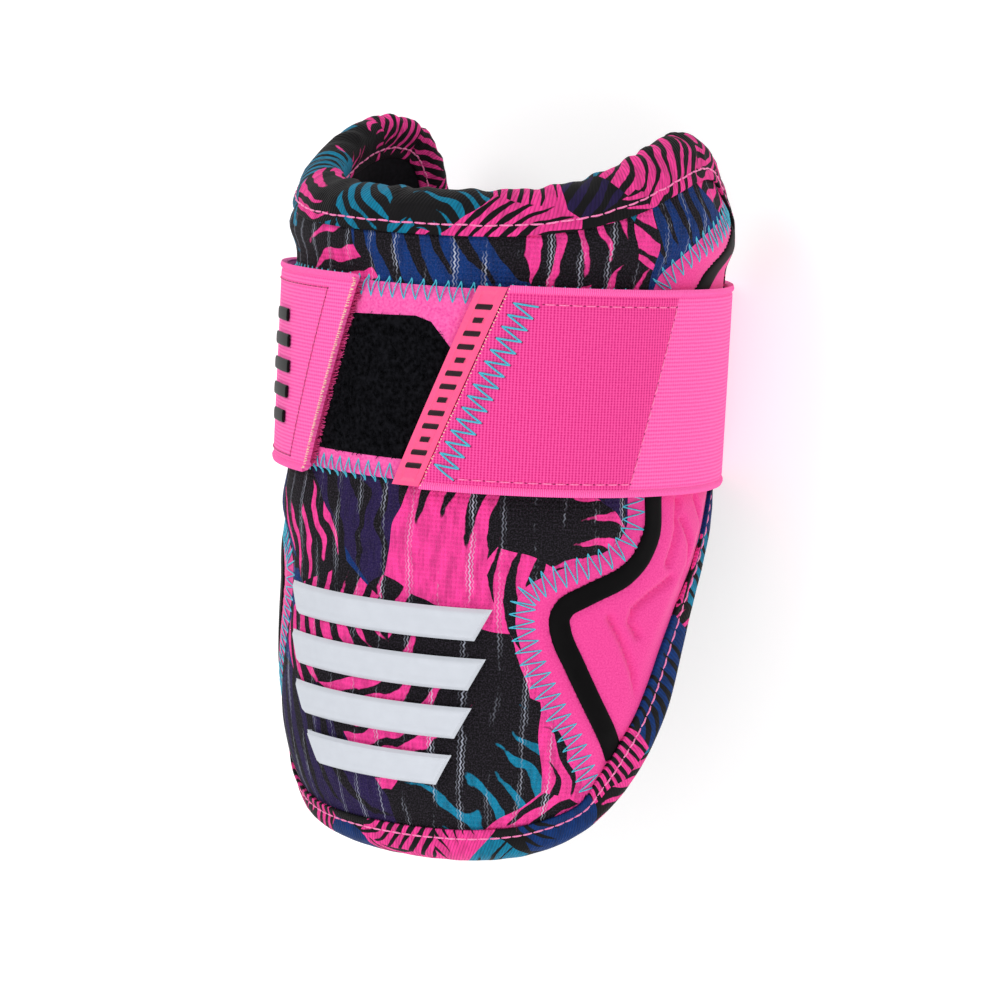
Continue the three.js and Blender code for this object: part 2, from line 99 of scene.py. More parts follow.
STRAP_BOTTOM = STRAP_MIDDLE - STRAP_WIDTH / 2
STRAP_TOP = STRAP_MIDDLE + STRAP_WIDTH / 2
RIBS_MIDDLE = 0.243 * GUARD_HEIGHT
LABEL_END = (0.095 * WING_REACH, 0.246 * WING_REACH)
TAB_END = (-0.188 * WING_REACH, -0.057 * WING_REACH)
TIP_ROW = 27
OUTLINE_ROWS = 54

# %% Tables: the form's radius, the outline, the side seam and the trim
RADIUS = [
    (0.0, 0.75), (0.022, 0.82), (0.06, 0.882), (0.104, 0.934), (0.165, 0.976), (0.236, 1.0),
    (0.445, 1.004), (0.515, 0.993), (0.81, 0.995), (0.85, 1.028), (0.88, 1.02), (0.92, 0.972),
    (0.96, 0.925), (1.0, 0.885),
]
OUTLINE = [
    (0.0, 0.913), (0.123, 0.914), (0.246, 0.918), (0.354, 0.929), (0.462, 0.95), (0.562, 0.975),
    (0.654, 0.994), (0.738, 1.0), (0.823, 0.99), (0.892, 0.957), (0.946, 0.902), (0.985, 0.83),
    (1.0, 0.762), (1.0, 0.68), (1.0, 0.597), (0.973, 0.538), (0.9, 0.494), (0.82, 0.443),
    (0.758, 0.381), (0.716, 0.306), (0.68, 0.23), (0.633, 0.158), (0.57, 0.095), (0.484, 0.045),
    (0.367, 0.016), (0.246, 0.004), (0.123, 0.0005), (0.0, 0.0),
]
SIDE_SEAM = [
    (-0.03, 0.58), (0.049, 0.52), (0.12, 0.46), (0.172, 0.417), (0.229, 0.364), (0.279, 0.325),
    (0.318, 0.3), (0.35, 0.289), (0.377, 0.29), (0.397, 0.308), (0.409, 0.336), (0.422, 0.378),
    (0.436, 0.439), (0.456, 0.492), (0.485, 0.514), (0.534, 0.512), (0.643, 0.515), (0.762, 0.535),
    (0.806, 0.554), (0.832, 0.595), (0.859, 0.651), (0.886, 0.751), (0.912, 0.88), (0.95, 1.1),
]
TRIM_LINE = [
    (0.079, 0.585), (0.176, 0.51), (0.237, 0.455), (0.292, 0.41), (0.333, 0.38), (0.353, 0.374),
    (0.37, 0.385), (0.387, 0.43), (0.413, 0.51), (0.441, 0.548), (0.482, 0.57), (0.534, 0.574),
    (0.643, 0.59), (0.742, 0.64), (0.806, 0.71), (0.853, 0.815), (0.885, 0.92), (0.92, 1.08),
]
BINDING_WIDTHS = [
    (0.0, 0.714), (0.05, 0.73), (0.09, 0.92), (0.14, 0.985), (0.2, 0.96), (0.27, 0.9), (0.31, 0.83),
    (0.34, 0.77), (0.37, 0.66), (0.4, 0.57), (0.5, 0.57), (0.6, 0.6), (0.75, 0.7), (0.88, 0.785),
    (1.0, 0.785),
]

# %% [markdown]
# ## From the flat pattern to the form
# A smooth curve is read off each table, and one function wraps a flat point on the form and
# lifts it off the wall's outer face. Every piece goes through it, so pieces that are sewn
# together on the real guard meet here as well.

# %% Smooth steps and smooth tables
def smoothstep(value, low, high):
    share = np.clip((np.asarray(value, float) - low) / (high - low), 0, 1)
    return share * share * (3 - 2 * share)


def lerp(start, end, share):
    return start + (end - start) * share


def bell(gap, width):
    """1 where the gap is nothing, and falling off smoothly beside it."""
    return np.exp(-((gap / width) ** 2))


def smooth_run(start, start_slope, end, end_slope, t):
    """A smooth run from one value to the next, with a slope at each end."""
    return (
        (2 * t**3 - 3 * t**2 + 1) * start
        + (t**3 - 2 * t**2 + t) * start_slope
        + (3 * t**2 - 2 * t**3) * end
        + (t**3 - t**2) * end_slope
    )


def look_up(rows, at):
    """A smooth value between a table's rows, without overshoot."""
    keys, values = np.array(rows, float).T
    at = np.clip(at, keys[0], keys[-1])
    width = np.diff(keys)
    slope = np.diff(values) / width
    before = np.concatenate([slope[:1], slope])
    after = np.concatenate([slope, slope[-1:]])
    rising = before * after > 0
    tangent = np.where(rising, 2 * before * after / np.where(rising, before + after, 1), 0)
    row = np.clip(np.searchsorted(keys, at, side="right") - 1, 0, len(width) - 1)
    t = (at - keys[row]) / width[row]
    start_slope, end_slope = width[row] * tangent[row], width[row] * tangent[row + 1]
    return smooth_run(values[row], start_slope, values[row + 1], end_slope, t)



# %% Wrap a flat point on the form
def radius_at(around, height):
    tuck = smoothstep(np.abs(around), TUCK_START * WING_REACH, WING_REACH)
    return GUARD_RADIUS * look_up(RADIUS, np.asarray(height) / GUARD_HEIGHT) - REAR_TUCK * tuck


def wrap(around, height, lift):
    around, height, lift = np.broadcast_arrays(*(np.asarray(v, float) for v in (around, height, lift)))
    angle = around / GUARD_RADIUS
    radius = radius_at(around, height) + lift
    return np.stack([radius * np.sin(angle), -radius * np.cos(angle), height], -1)


# %% The strap's run: on the form, round a corner, along the flat back, and the same mirrored
STRAP_ON_FORM = WING_REACH + STRAP_LEAD
CORNER_ANGLE = STRAP_ON_FORM / GUARD_RADIUS
CORNER_LENGTH = STRAP_CORNER * (math.pi - CORNER_ANGLE)
CORNER_REACH = radius_at(0, STRAP_MIDDLE) - REAR_TUCK - STRAP_CORNER
CORNER_X = math.sin(CORNER_ANGLE) * CORNER_REACH
CORNER_Y = -math.cos(CORNER_ANGLE) * CORNER_REACH
HALF_LOOP = STRAP_ON_FORM + CORNER_LENGTH + CORNER_X
LIFT_OVER_PATCH = CLEARANCE + PATCH_THICKNESS + CLEARANCE
LIFT_OVER_HOOK = LIFT_OVER_PATCH + HOOK_THICKNESS + CLEARANCE
LIFT_OVER_WING = max(BINDING_PROUD, TRIM_PROUD) + CLEARANCE


def strap_lift(along):
    on_tab = along > HALF_LOOP
    from_front = np.where(on_tab, 2 * HALF_LOOP - along, along)
    front_lift = np.where(on_tab, LIFT_OVER_HOOK, LIFT_OVER_PATCH)
    settled = smoothstep(from_front, PATCH_REACH, PATCH_REACH + STRAP_EASE)
    return lerp(front_lift, LIFT_OVER_WING, settled)


def strap_point(along, height, lift):
    along, height, lift = np.broadcast_arrays(*(np.asarray(v, float) for v in (along, height, lift)))
    mirrored = along > HALF_LOOP
    run = np.where(mirrored, 2 * HALF_LOOP - along, along)
    angle = run / GUARD_RADIUS
    on_form = radius_at(run, STRAP_MIDDLE) + lift
    turn = CORNER_ANGLE + (run - STRAP_ON_FORM) / STRAP_CORNER
    on_corner = STRAP_CORNER + lift
    places = [run <= STRAP_ON_FORM, run <= STRAP_ON_FORM + CORNER_LENGTH]
    x = np.select(
        places,
        [on_form * np.sin(angle), CORNER_X + on_corner * np.sin(turn)],
        HALF_LOOP - run,
    )
    y = np.select(
        places,
        [-on_form * np.cos(angle), CORNER_Y - on_corner * np.cos(turn)],
        CORNER_Y + STRAP_CORNER + lift,
    )
    return np.stack([np.where(mirrored, -x, x), y, height], -1)


# %% Lay the upright form on its back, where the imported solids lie
strap_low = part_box("strap")[0]
binding_low, binding_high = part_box("edge_binding")
SHIFT_X = (binding_low.x + binding_high.x) / 2 * 1000
SHIFT_Y = strap_low.y * 1000 - STRAP_BOTTOM
SHIFT_Z = strap_low.z * 1000 + CORNER_Y + STRAP_CORNER + LIFT_OVER_WING + STRAP_THICKNESS


def lay_down(upright):
    x, y, z = np.moveaxis(np.asarray(upright, float), -1, 0)
    return np.stack([x + SHIFT_X, z + SHIFT_Y, SHIFT_Z - y], -1) / 1000


print("shift from the upright form, mm:", round(SHIFT_X, 2), round(SHIFT_Y, 2), round(SHIFT_Z, 2))

# %% [markdown]
# ## Camera
# The photograph looks at the guard from its front right and slightly above, with a long lens.
# Here the guard lies on its back, so the same view is from above. The camera is worked out for
# the upright form and laid down with it.

# %% Camera
VIEW_AROUND = math.radians(33)
VIEW_ABOVE = math.radians(7)
VIEW_ROLL = math.radians(3)
CAMERA_DISTANCE = 900.0
MM_PER_PIXEL = 0.2585
PICTURE_PIXELS = 1000
SENSOR_MM = 36.0
AIM_HEIGHT = 90.0
AIM_PIXEL = (504, 489)

right = np.array([math.cos(VIEW_AROUND), math.sin(VIEW_AROUND), 0])
forward = np.array([
    -math.sin(VIEW_AROUND) * math.cos(VIEW_ABOVE),
    math.cos(VIEW_AROUND) * math.cos(VIEW_ABOVE),
    -math.sin(VIEW_ABOVE),
])
up = np.cross(right, forward)
rolled_right = right * math.cos(VIEW_ROLL) + up * math.sin(VIEW_ROLL)
rolled_up = up * math.cos(VIEW_ROLL) - right * math.sin(VIEW_ROLL)
middle = PICTURE_PIXELS / 2
target = np.array([0, 0, AIM_HEIGHT])
target = target - rolled_right * (AIM_PIXEL[0] - middle) * MM_PER_PIXEL
target = target + rolled_up * (AIM_PIXEL[1] - middle) * MM_PER_PIXEL


def turn_down(direction):
    x, y, z = direction
    return Vector((x, z, -y))


camera_data = bpy.data.cameras.new("camera")
camera_data.sensor_width = SENSOR_MM
camera_data.lens = SENSOR_MM * CAMERA_DISTANCE / (MM_PER_PIXEL * PICTURE_PIXELS)
camera = bpy.data.objects.new("camera", camera_data)
axes = Matrix([turn_down(rolled_right), turn_down(rolled_up), turn_down(-forward)]).transposed()
camera.matrix_world = Matrix.Translation(lay_down(target - forward * CAMERA_DISTANCE)) @ axes.to_4x4()
bpy.context.scene.collection.objects.link(camera)
bpy.context.scene.camera = camera
print("camera lens", round(camera_data.lens, 1), "mm, height", round(camera.location.z, 3), "m")

# %% [markdown]
# ## Making a piece
# Three small helpers serve every piece. One puts numbers into a mesh, one applies the modifiers,
# and one says what body the piece rides on, which solid it stands for and which finish it takes.

# %% Helpers for meshes
def write_points(piece, upright):
    piece.data.vertices.foreach_set("co", lay_down(upright).reshape(-1))
    piece.data.update()


def write_pattern(piece, flat):
    """Keeps each vertex's flat place, in millimetres, as the piece's UV map."""
    while piece.data.uv_layers:
        piece.data.uv_layers.remove(piece.data.uv_layers[0])
    layer = piece.data.uv_layers.new(name="Pattern")
    corners = np.zeros(len(piece.data.loops), np.int32)
    piece.data.loops.foreach_get("vertex_index", corners)
    layer.data.foreach_set("uv", np.asarray(flat, float)[corners].reshape(-1))


def new_piece(name, mesh):
    piece = bpy.data.objects.new(name, mesh)
    bpy.context.scene.collection.objects.link(piece)
    print("made", name, "with", len(mesh.vertices), "points")
    return piece


def select_only(piece):
    bpy.ops.object.select_all(action="DESELECT")
    piece.select_set(True)
    bpy.context.view_layer.objects.active = piece


def add_modifier(piece, kind, **settings):
    select_only(piece)
    modifier = piece.modifiers.new(kind.lower(), kind)
    for name, value in settings.items():
        setattr(modifier, name, value)
    bpy.ops.object.modifier_apply(modifier=modifier.name)


def thicken(piece, millimetres):
    add_modifier(piece, "SOLIDIFY", thickness=millimetres / 1000, offset=-1, use_even_offset=True)


def round_edges(piece, millimetres, segments=2, sharper_than=50):
    add_modifier(piece, "BEVEL", width=millimetres / 1000, segments=segments, limit_method="ANGLE",
                 angle_limit=math.radians(sharper_than))


def shade(piece, degrees=40):
    select_only(piece)
    bpy.ops.object.shade_smooth_by_angle(angle=math.radians(degrees))


def dress(piece, material, nodes=()):
    """The piece gets its finish, rides on the root body and stands for its solids."""
    piece.data.materials.clear()
    piece.data.materials.append(material)
    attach(piece, "root")
    if nodes:
        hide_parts(*nodes)
    print(piece.name, "has", len(piece.data.polygons), "faces")


# %% Helper: a grid of faces, added as a primitive and then moved to its place
def grid_piece(name, columns, rows, place, flat):
    bpy.ops.object.select_all(action="DESELECT")
    bpy.ops.mesh.primitive_grid_add(x_subdivisions=columns, y_subdivisions=rows, size=1)
    piece = bpy.context.active_object
    piece.name = name
    points = np.zeros(len(piece.data.vertices) * 3)
    piece.data.vertices.foreach_get("co", points)
    across, along = points.reshape(-1, 3)[:, 0] + 0.5, points.reshape(-1, 3)[:, 1] + 0.5
    write_pattern(piece, np.stack(flat(across, along), -1))
    write_points(piece, place(across, along))
    print("made", name, "with", len(across), "points")
    return piece


# %% Helper: a flat cut-out, sliced into small cells and wrapped on the form
def cut_out(name, boundary, cell, lift):
    shape = bmesh.new()
    shape.faces.new([shape.verts.new((x, y, 0)) for x, y in boundary])
    low, high = np.min(boundary, 0), np.max(boundary, 0)
    for axis, normal in ((0, (1, 0, 0)), (1, (0, 1, 0))):
        for at in np.arange(low[axis] + cell / 2, high[axis], cell):
            everything = shape.verts[:] + shape.edges[:] + shape.faces[:]
            place = (at, 0, 0) if axis == 0 else (0, at, 0)
            bmesh.ops.bisect_plane(shape, geom=everything, plane_co=place, plane_no=normal, dist=0.02)
    mesh = bpy.data.meshes.new(name)
    shape.to_mesh(mesh)
    shape.free()
    piece = new_piece(name, mesh)
    flat = np.zeros(len(mesh.vertices) * 3)
    mesh.vertices.foreach_get("co", flat)
    flat = flat.reshape(-1, 3)[:, :2]
    write_pattern(piece, flat)
    write_points(piece, wrap(flat[:, 0], flat[:, 1], lift(flat)))
    return piece


# %% The outline as a smooth closed curve
HALF_OUTLINE = np.array(OUTLINE) * (WING_REACH, GUARD_HEIGHT)
WHOLE_OUTLINE = np.concatenate([HALF_OUTLINE, HALF_OUTLINE[-2:0:-1] * (-1, 1)])


def outline_at(row):
    row = np.mod(np.asarray(row, float), OUTLINE_ROWS)
    first = np.floor(row).astype(int)
    t = (row - first)[:, None]
    before, here, after, later = (WHOLE_OUTLINE[(first + k) % OUTLINE_ROWS] for k in (-1, 0, 1, 2))
    return smooth_run(here, (after - before) / 2, after, (later - here) / 2, t)


def binding_width(height):
    return BINDING_WIDTH * look_up(BINDING_WIDTHS, height / GUARD_HEIGHT)


def outline_inset(row, depth):
    """Points of the outline set in by a depth, in millimetres."""
    nudge = 0.02
    row = np.asarray(row, float)
    run = outline_at(row + nudge) - outline_at(row - nudge)
    run = run / np.linalg.norm(run, axis=1)[:, None]
    depth = np.broadcast_to(depth, row.shape)[:, None]
    return outline_at(row) + np.stack([run[:, 1], -run[:, 0]], -1) * depth


def travelled(points):
    """How far along a line of points each of them lies."""
    return np.concatenate([[0], np.cumsum(np.linalg.norm(np.diff(points, axis=0), axis=1))])


def even_rows(step):
    """Places along the outline, in table rows, with equal steps in millimetres."""
    fine = np.linspace(0, OUTLINE_ROWS, OUTLINE_ROWS * 40 + 1)
    lengths = travelled(outline_at(fine))
    count = int(round(lengths[-1] / step))
    stops = np.arange(count) * lengths[-1] / count
    return np.interp(stops, lengths, fine), stops


# %% [markdown]
# ## Cutting the wall
# On the real guard the printed front and the two pink side pads are separate cut-outs that meet
# in a seam under zigzag thread. The wall's edge goes into the rolled binding. Both cut-outs take
# their boundary from the same two curves, so they meet exactly.

# %% Boundaries of the front and of the right side pad
TUCKED_IN = 3.0
EDGE_STEP = 1.5
rows = even_rows(EDGE_STEP)[0]
half_rows = rows[rows <= TIP_ROW]
wall_depth = binding_width(outline_at(half_rows)[:, 1]) - TUCKED_IN
wall_edge = outline_inset(half_rows, wall_depth)
wall_edge[:, 0] = np.maximum(wall_edge[:, 0], 0)


def seam_around(height):
    return look_up(SIDE_SEAM, height / GUARD_HEIGHT) * WING_REACH


in_front = wall_edge[:, 0] < seam_around(wall_edge[:, 1])
leaves = int(np.argmin(in_front))
returns = len(in_front) - int(np.argmin(in_front[::-1]))
top_height = wall_edge[leaves - 1, 1]
bottom_height = wall_edge[returns, 1]
seam_heights = np.linspace(top_height, bottom_height, 160)[1:-1]
seam_line = np.stack([seam_around(seam_heights), seam_heights], -1)


def thin_out(line, step=1.2):
    """Drops points that lie closer than a step to the one before."""
    kept = [line[0]]
    for point in line[1:]:
        if np.linalg.norm(point - kept[-1]) >= step:
            kept.append(point)
    return np.array(kept)


right_front = thin_out(np.concatenate([wall_edge[:leaves], seam_line, wall_edge[returns:]]))
front_boundary = np.concatenate([right_front[::-1], right_front[1:-1] * (-1, 1)])
side_boundary = thin_out(np.concatenate([wall_edge[leaves:returns], seam_line[::-1]]))[::-1]
print("seam runs from height", round(float(bottom_height), 1), "to", round(float(top_height), 1), "mm")

# %% How far the wall swells and where it is pinched
SEAM_PINCH = 0.7
PINCH_REACH = 3.0
EDGE_SINK = 0.5
EDGE_REACH = 6.0
SWELL_OVER = (1.0, 9.0, 7.0)  # the swell, how far above the strap it is highest, and its reach
SWELL_UNDER = (0.9, 10.0, 8.0)  # the same below the strap


def distance_to(line, flat):
    """How far each flat point is from a line of points, in millimetres."""
    nearest = np.full(len(flat), 1e9)
    for start, end in zip(line[:-1], line[1:]):
        run = end - start
        share = np.clip(((flat - start) @ run) / max(run @ run, 1e-9), 0, 1)
        gap = np.hypot(*(flat - start - share[:, None] * run).T)
        nearest = np.minimum(nearest, gap)
    return nearest


def beside_strap(flat):
    """The foam swells just above and below the strap, which draws it in."""
    over, over_gap, over_reach = SWELL_OVER
    under, under_gap, under_reach = SWELL_UNDER
    above, below = flat[:, 1] - STRAP_TOP, STRAP_BOTTOM - flat[:, 1]
    return over * bell(above - over_gap, over_reach) + under * bell(below - under_gap, under_reach)


def soft_waves(flat):
    """Slow rises and dips of hand-sewn foam, a fraction of a millimetre."""
    x, y = flat.T
    return (
        0.18 * np.sin(x / 9.1 + y / 17)
        + 0.14 * np.sin(y / 7.3 - x / 23)
        + 0.1 * np.sin(x / 4.7 + y / 5.9)
    )


def sewn_down(flat, lift):
    """The foam is thin along the seam and where it goes under the binding."""
    pinch = bell(distance_to(seam_line, flat), PINCH_REACH)
    lift = lift * (1 - pinch) - SEAM_PINCH * pinch
    inside = distance_to(wall_edge, flat) - TUCKED_IN
    return lerp(-EDGE_SINK, lift, smoothstep(inside, 0, EDGE_REACH))


def front_lift(flat):
    right_half = np.abs(flat)
    return sewn_down(right_half, beside_strap(flat) + soft_waves(flat))


# %% The printed front
FRONT_CELL = 1.5
front_pad = cut_out("printed_front", front_boundary, FRONT_CELL, front_lift)
thicken(front_pad, WALL_THICKNESS - LINING_THICKNESS - CLEARANCE)
shade(front_pad)

# %% [markdown]
# ## Side pads
# A side pad is moulded neoprene foam with a smooth pink face. A groove takes the black trim, and
# behind it shallow grooves are pressed in a branching pattern, so that the pad can flex.
# The grooves are lowered by their distance from a line, which keeps their sides soft.

# %% The lines of the trim and of the pressed grooves
trim_heights = np.linspace(TRIM_LINE[0][0], TRIM_LINE[-1][0], 240)
trim_line = np.stack([look_up(TRIM_LINE, trim_heights) * WING_REACH, trim_heights * GUARD_HEIGHT], -1)
PRESSED = [
    [(81.8, 94.0), (80.6, 86.0), (77.6, 78.0)],
    [(83.2, 89.0), (86.4, 83.0), (86.8, 77.5), (84.6, 73.0)],
    [(90.2, 94.0), (93.4, 88.0), (94.0, 83.0), (90.0, 76.0)],
    [(79.0, 74.5), (72.0, 70.6), (67.6, 67.4), (66.8, 64.0), (69.4, 60.5)],
    [(60.8, 65.4), (65.2, 58.5), (68.8, 51.5), (70.6, 46.0)],
]
GROOVE_DEPTH = 1.4
GROOVE_WIDTH = 0.95
PAD_CREST = (0.66, 0.38)  # where the pad bulges most, as shares of the reach and of the height
PAD_SPREAD = (0.16, 0.11)
PAD_SWELL = 0.6  # the firm pad swells less beside the strap than the front does
TRIM_LAP = 0.4
CREASE_DEPTH = 0.35
CREASE_WIDTH = 0.7


def pad_swell(flat):
    """The side pad's outer face without the trim's groove."""
    across = flat[:, 0] / WING_REACH - PAD_CREST[0]
    upward = flat[:, 1] / GUARD_HEIGHT - PAD_CREST[1]
    bulge = bell(across, PAD_SPREAD[0]) * bell(upward, PAD_SPREAD[1])
    lift = PAD_SWELL * beside_strap(flat) + PAD_BULGE * bulge
    for line in PRESSED:
        lift = lift - GROOVE_DEPTH * bell(distance_to(np.array(line), flat), GROOVE_WIDTH)
    return sewn_down(flat, lift)


def side_lift(flat):
    trim_gap = distance_to(trim_line, flat)
    groove = 1 - smoothstep(trim_gap, TRIM_WIDTH / 2 - 2.5 * TRIM_LAP, TRIM_WIDTH / 2 - TRIM_LAP)
    crease = CREASE_DEPTH * bell(trim_gap - TRIM_WIDTH / 2 - TRIM_LAP, CREASE_WIDTH)
    return lerp(pad_swell(flat) - crease, -TRIM_DEPTH - CLEARANCE, groove)


# %% Both side pads: the left one is the right one mirrored
def mirrored_lift(flat):
    return side_lift(flat * (-1, 1))


PAD_CELL = 0.8
PRESSED_ROOM = 2.6  # the pad stops this far short of the lining, so that no groove breaks through
side_pad_right = cut_out("pink_pad_right", side_boundary, PAD_CELL, side_lift)
side_pad_left = cut_out("pink_pad_left", side_boundary[::-1] * (-1, 1), PAD_CELL, mirrored_lift)
for pad in (side_pad_right, side_pad_left):
    thicken(pad, WALL_THICKNESS - LINING_THICKNESS - CLEARANCE - PRESSED_ROOM)
    shade(pad)

# %% [markdown]
# ## Side trims
# Each trim is a strip of satin rubber let into its groove, with a slightly crowned top and
# rounded edges. A primitive grid follows the trim's middle line, is thickened and bevelled.

# %% The two strips of trim
UNDER_BINDING = 1.5
inside_wall = outline_inset(half_rows, binding_width(outline_at(half_rows)[:, 1]) - UNDER_BINDING)


def lies_inside(point, polygon):
    """Whether a line from the point to the right crosses the edge an odd number of times."""
    x, y = point
    crossings = 0
    for (x0, y0), (x1, y1) in zip(polygon, np.roll(polygon, -1, axis=0)):
        if (y0 > y) != (y1 > y) and x < x0 + (y - y0) * (x1 - x0) / (y1 - y0):
            crossings += 1
    return crossings % 2 == 1


trim_path = trim_line[[lies_inside(point, inside_wall) for point in trim_line]]


def along_line(line, share):
    """Point and direction at a share of a line's length."""
    steps = travelled(line)
    at = np.asarray(share) * steps[-1]
    point = np.stack([np.interp(at, steps, line[:, i]) for i in (0, 1)], -1)
    nudge = 0.6
    ahead = np.stack([np.interp(at + nudge, steps, line[:, i]) for i in (0, 1)], -1)
    behind = np.stack([np.interp(at - nudge, steps, line[:, i]) for i in (0, 1)], -1)
    run = ahead - behind
    return point, run / np.linalg.norm(run, axis=1)[:, None]


def build_trim(name, side):
    def flat(across, along):
        point, run = along_line(trim_path, along)
        offset = (across - 0.5) * TRIM_WIDTH * side
        return (point[:, 0] + run[:, 1] * offset) * side, point[:, 1] - run[:, 0] * offset

    def place(across, along):
        point, _ = along_line(trim_path, along)
        crown = TRIM_PROUD * (1 - (2 * across - 1) ** 4)
        return wrap(*flat(across, along), pad_swell(point) + crown)

    piece = grid_piece(name, 12, 170, place, flat)
    thicken(piece, TRIM_DEPTH)
    round_edges(piece, 0.3)
    shade(piece)
    return piece


side_trim_right = build_trim("rubber_trim_right", 1)
side_trim_left = build_trim("rubber_trim_left", -1)

# %% [markdown]
# ## Lining
# The lining is one sheet of black knit inside the whole wall, sewn in under the binding.

# %% The lining
DIMPLE_DEPTH = 0.15
LINING_CELL = 2.0
lining_edge = thin_out(wall_edge)
lining_boundary = np.concatenate([lining_edge[::-1], lining_edge[1:-1] * (-1, 1)])


def lining_lift(flat):
    dimples = DIMPLE_DEPTH * np.sin(flat[:, 0] / 2.6) * np.sin(flat[:, 1] / 2.1)
    return -WALL_THICKNESS + LINING_THICKNESS + dimples


lining = cut_out("knit_lining", lining_boundary, LINING_CELL, lining_lift)
thicken(lining, LINING_THICKNESS)
shade(lining)

# %% [markdown]
# ## The rolled binding
# A strip of printed twill is folded over the wall's edge and sewn through. It is drawn here as a
# section that runs round the outline: a half circle over the edge, a flat leg down each face,
# and a fold at each leg's end. Where it is sewn it is drawn in, and along the top edge it gathers.

# %% The binding's section and its run
STITCH_DEPTH = 0.76
SECTION_STEPS = 13
BINDING_STEP = 1.1
BINDING_LEG = 10.0  # how wide a leg of the binding counts in the print's pattern
GATHERED_FROM = (0.88, 0.93)  # the shares of the height over which the gathers set in
LEG = [(1.0, 0.35), (0.97, 0.6), (0.88, 0.55), (STITCH_DEPTH, 0.22), (0.64, 0.55), (0.53, 0.7)]


def binding_section():
    """Rows of (depth share, lift share of the wall, proud in mm), from outer fold to inner fold."""
    outer = [(1.0, 0.0, -0.1), *((depth, 0.0, proud) for depth, proud in LEG)]
    inner = [(depth, 1.0, -proud) for depth, _, proud in outer[::-1]]
    bend = []
    for turn in np.linspace(0, math.pi, SECTION_STEPS)[1:-1]:
        through = (1 - math.cos(turn)) / 2
        bend.append((0.46 * (1 - math.sin(turn)), through, 0.8 * math.cos(turn)))
    return np.array(outer + bend + inner)


def puckers(rows):
    """Small gathers along the binding, from -1 to 1."""
    turn = np.asarray(rows) / OUTLINE_ROWS * 2 * math.pi
    return np.sin(turn * 71 + 1.5 * np.sin(turn * 9)) * 0.6 + np.sin(turn * 113 + np.sin(turn * 5)) * 0.4


def binding_at(rows, depth):
    """The binding's flat places at a share of its width, and how far its gathers lift them."""
    height = outline_at(rows)[:, 1]
    gathered = smoothstep(height / GUARD_HEIGHT, *GATHERED_FROM)
    pucker = puckers(rows)
    gather = (1 - depth) * (0.1 + 0.4 * gathered) * pucker
    ruffle = (0.06 + 0.22 * gathered) * pucker * math.sin(math.pi * min(depth * 1.3, 1))
    return outline_inset(rows, depth * binding_width(height) + gather), ruffle


def build_binding():
    rows, stops = even_rows(BINDING_STEP)
    section = binding_section()
    folded = travelled(section[:, :2] * (BINDING_LEG, WALL_THICKNESS))
    sections, patterns = [], []
    for (depth, through, proud), over in zip(section, folded):
        flat, ruffle = binding_at(rows, depth)
        sign = 1 if through < 0.5 else -1
        lift = -through * WALL_THICKNESS + proud + sign * ruffle
        sections.append(wrap(flat[:, 0], flat[:, 1], lift))
        patterns.append(np.stack([stops, np.full(len(rows), over)], -1))
    return np.stack(sections, 1), np.stack(patterns, 1)


def ring_mesh(name, sections, patterns):
    """A closed tube through sections, with a UV map that doesn't fold at the ring's start."""
    count, corners = sections.shape[:2]
    here = np.arange(count)[:, None] * corners
    ahead = (np.arange(count)[:, None] + 1) % count * corners
    corner = np.arange(corners)[None, :]
    after = (corner + 1) % corners
    faces = np.stack([here + corner, ahead + corner, ahead + after, here + after], -1).reshape(-1, 4)
    mesh = bpy.data.meshes.new(name)
    mesh.from_pydata(lay_down(sections.reshape(-1, 3)).tolist(), [], faces.tolist())
    following = np.roll(patterns, -1, axis=0)
    following[-1, :, 0] += patterns[-1, 0, 0] + patterns[1, 0, 0]
    face_corners = [patterns, following, np.roll(following, -1, axis=1), np.roll(patterns, -1, axis=1)]
    layer = mesh.uv_layers.new(name="Pattern")
    layer.data.foreach_set("uv", np.stack(face_corners, 2).reshape(-1))
    return new_piece(name, mesh)


binding_points, binding_pattern = build_binding()
edge_binding = ring_mesh("rolled_binding", binding_points, binding_pattern)
shade(edge_binding, 60)

# %% [markdown]
# ## The strap and what it closes on
# The strap is woven elastic with a corded selvedge. It leaves the label on the right of the front,
# runs round the back and comes forward again on the left, where its tab closes on a patch of loop
# pile. The end by the label is doubled and sewn down along a slanted line.

# %% The strap
LOOP = 2 * HALF_LOOP
DOUBLED_END = (62.2, 75.6)
LOW_STITCH = 3.2
HIGH_STITCH = 4.3
SELVEDGE = 1.9  # the corded edge's width
CORD_MIDDLE = 0.9
CORD_RISE = 0.35
DOUBLED_RISE = 0.4
SEAM_DIP = 0.25
STRAP_COLUMNS = 300
STRAP_ROWS = 60


def slanted(end, share):
    return lerp(end[0], end[1], share)


def strap_flat(across, along):
    share = lerp(along, (1 - np.cos(math.pi * along)) / 2, 0.85)
    start = slanted(LABEL_END, share)
    end = LOOP + slanted(TAB_END, share)
    return lerp(start, end, across), STRAP_BOTTOM + share * STRAP_WIDTH


def strap_relief(along, height):
    """How far the outer face stands out at a place of the strap."""
    share = (height - STRAP_BOTTOM) / STRAP_WIDTH
    from_edge = np.minimum(share, 1 - share) * STRAP_WIDTH
    cord = bell(from_edge - CORD_MIDDLE, 0.7) - bell(from_edge - SELVEDGE, 0.3)
    past_seam = along - slanted(DOUBLED_END, share)
    doubled = 1 - smoothstep(past_seam, -0.6, 0.6)
    low_gap = height - STRAP_BOTTOM - LOW_STITCH
    high_gap = STRAP_TOP - HIGH_STITCH - height
    seam = bell(past_seam, 0.9) + doubled * (bell(low_gap, 0.6) + bell(high_gap, 0.6))
    return CORD_RISE * cord + DOUBLED_RISE * doubled - SEAM_DIP * seam


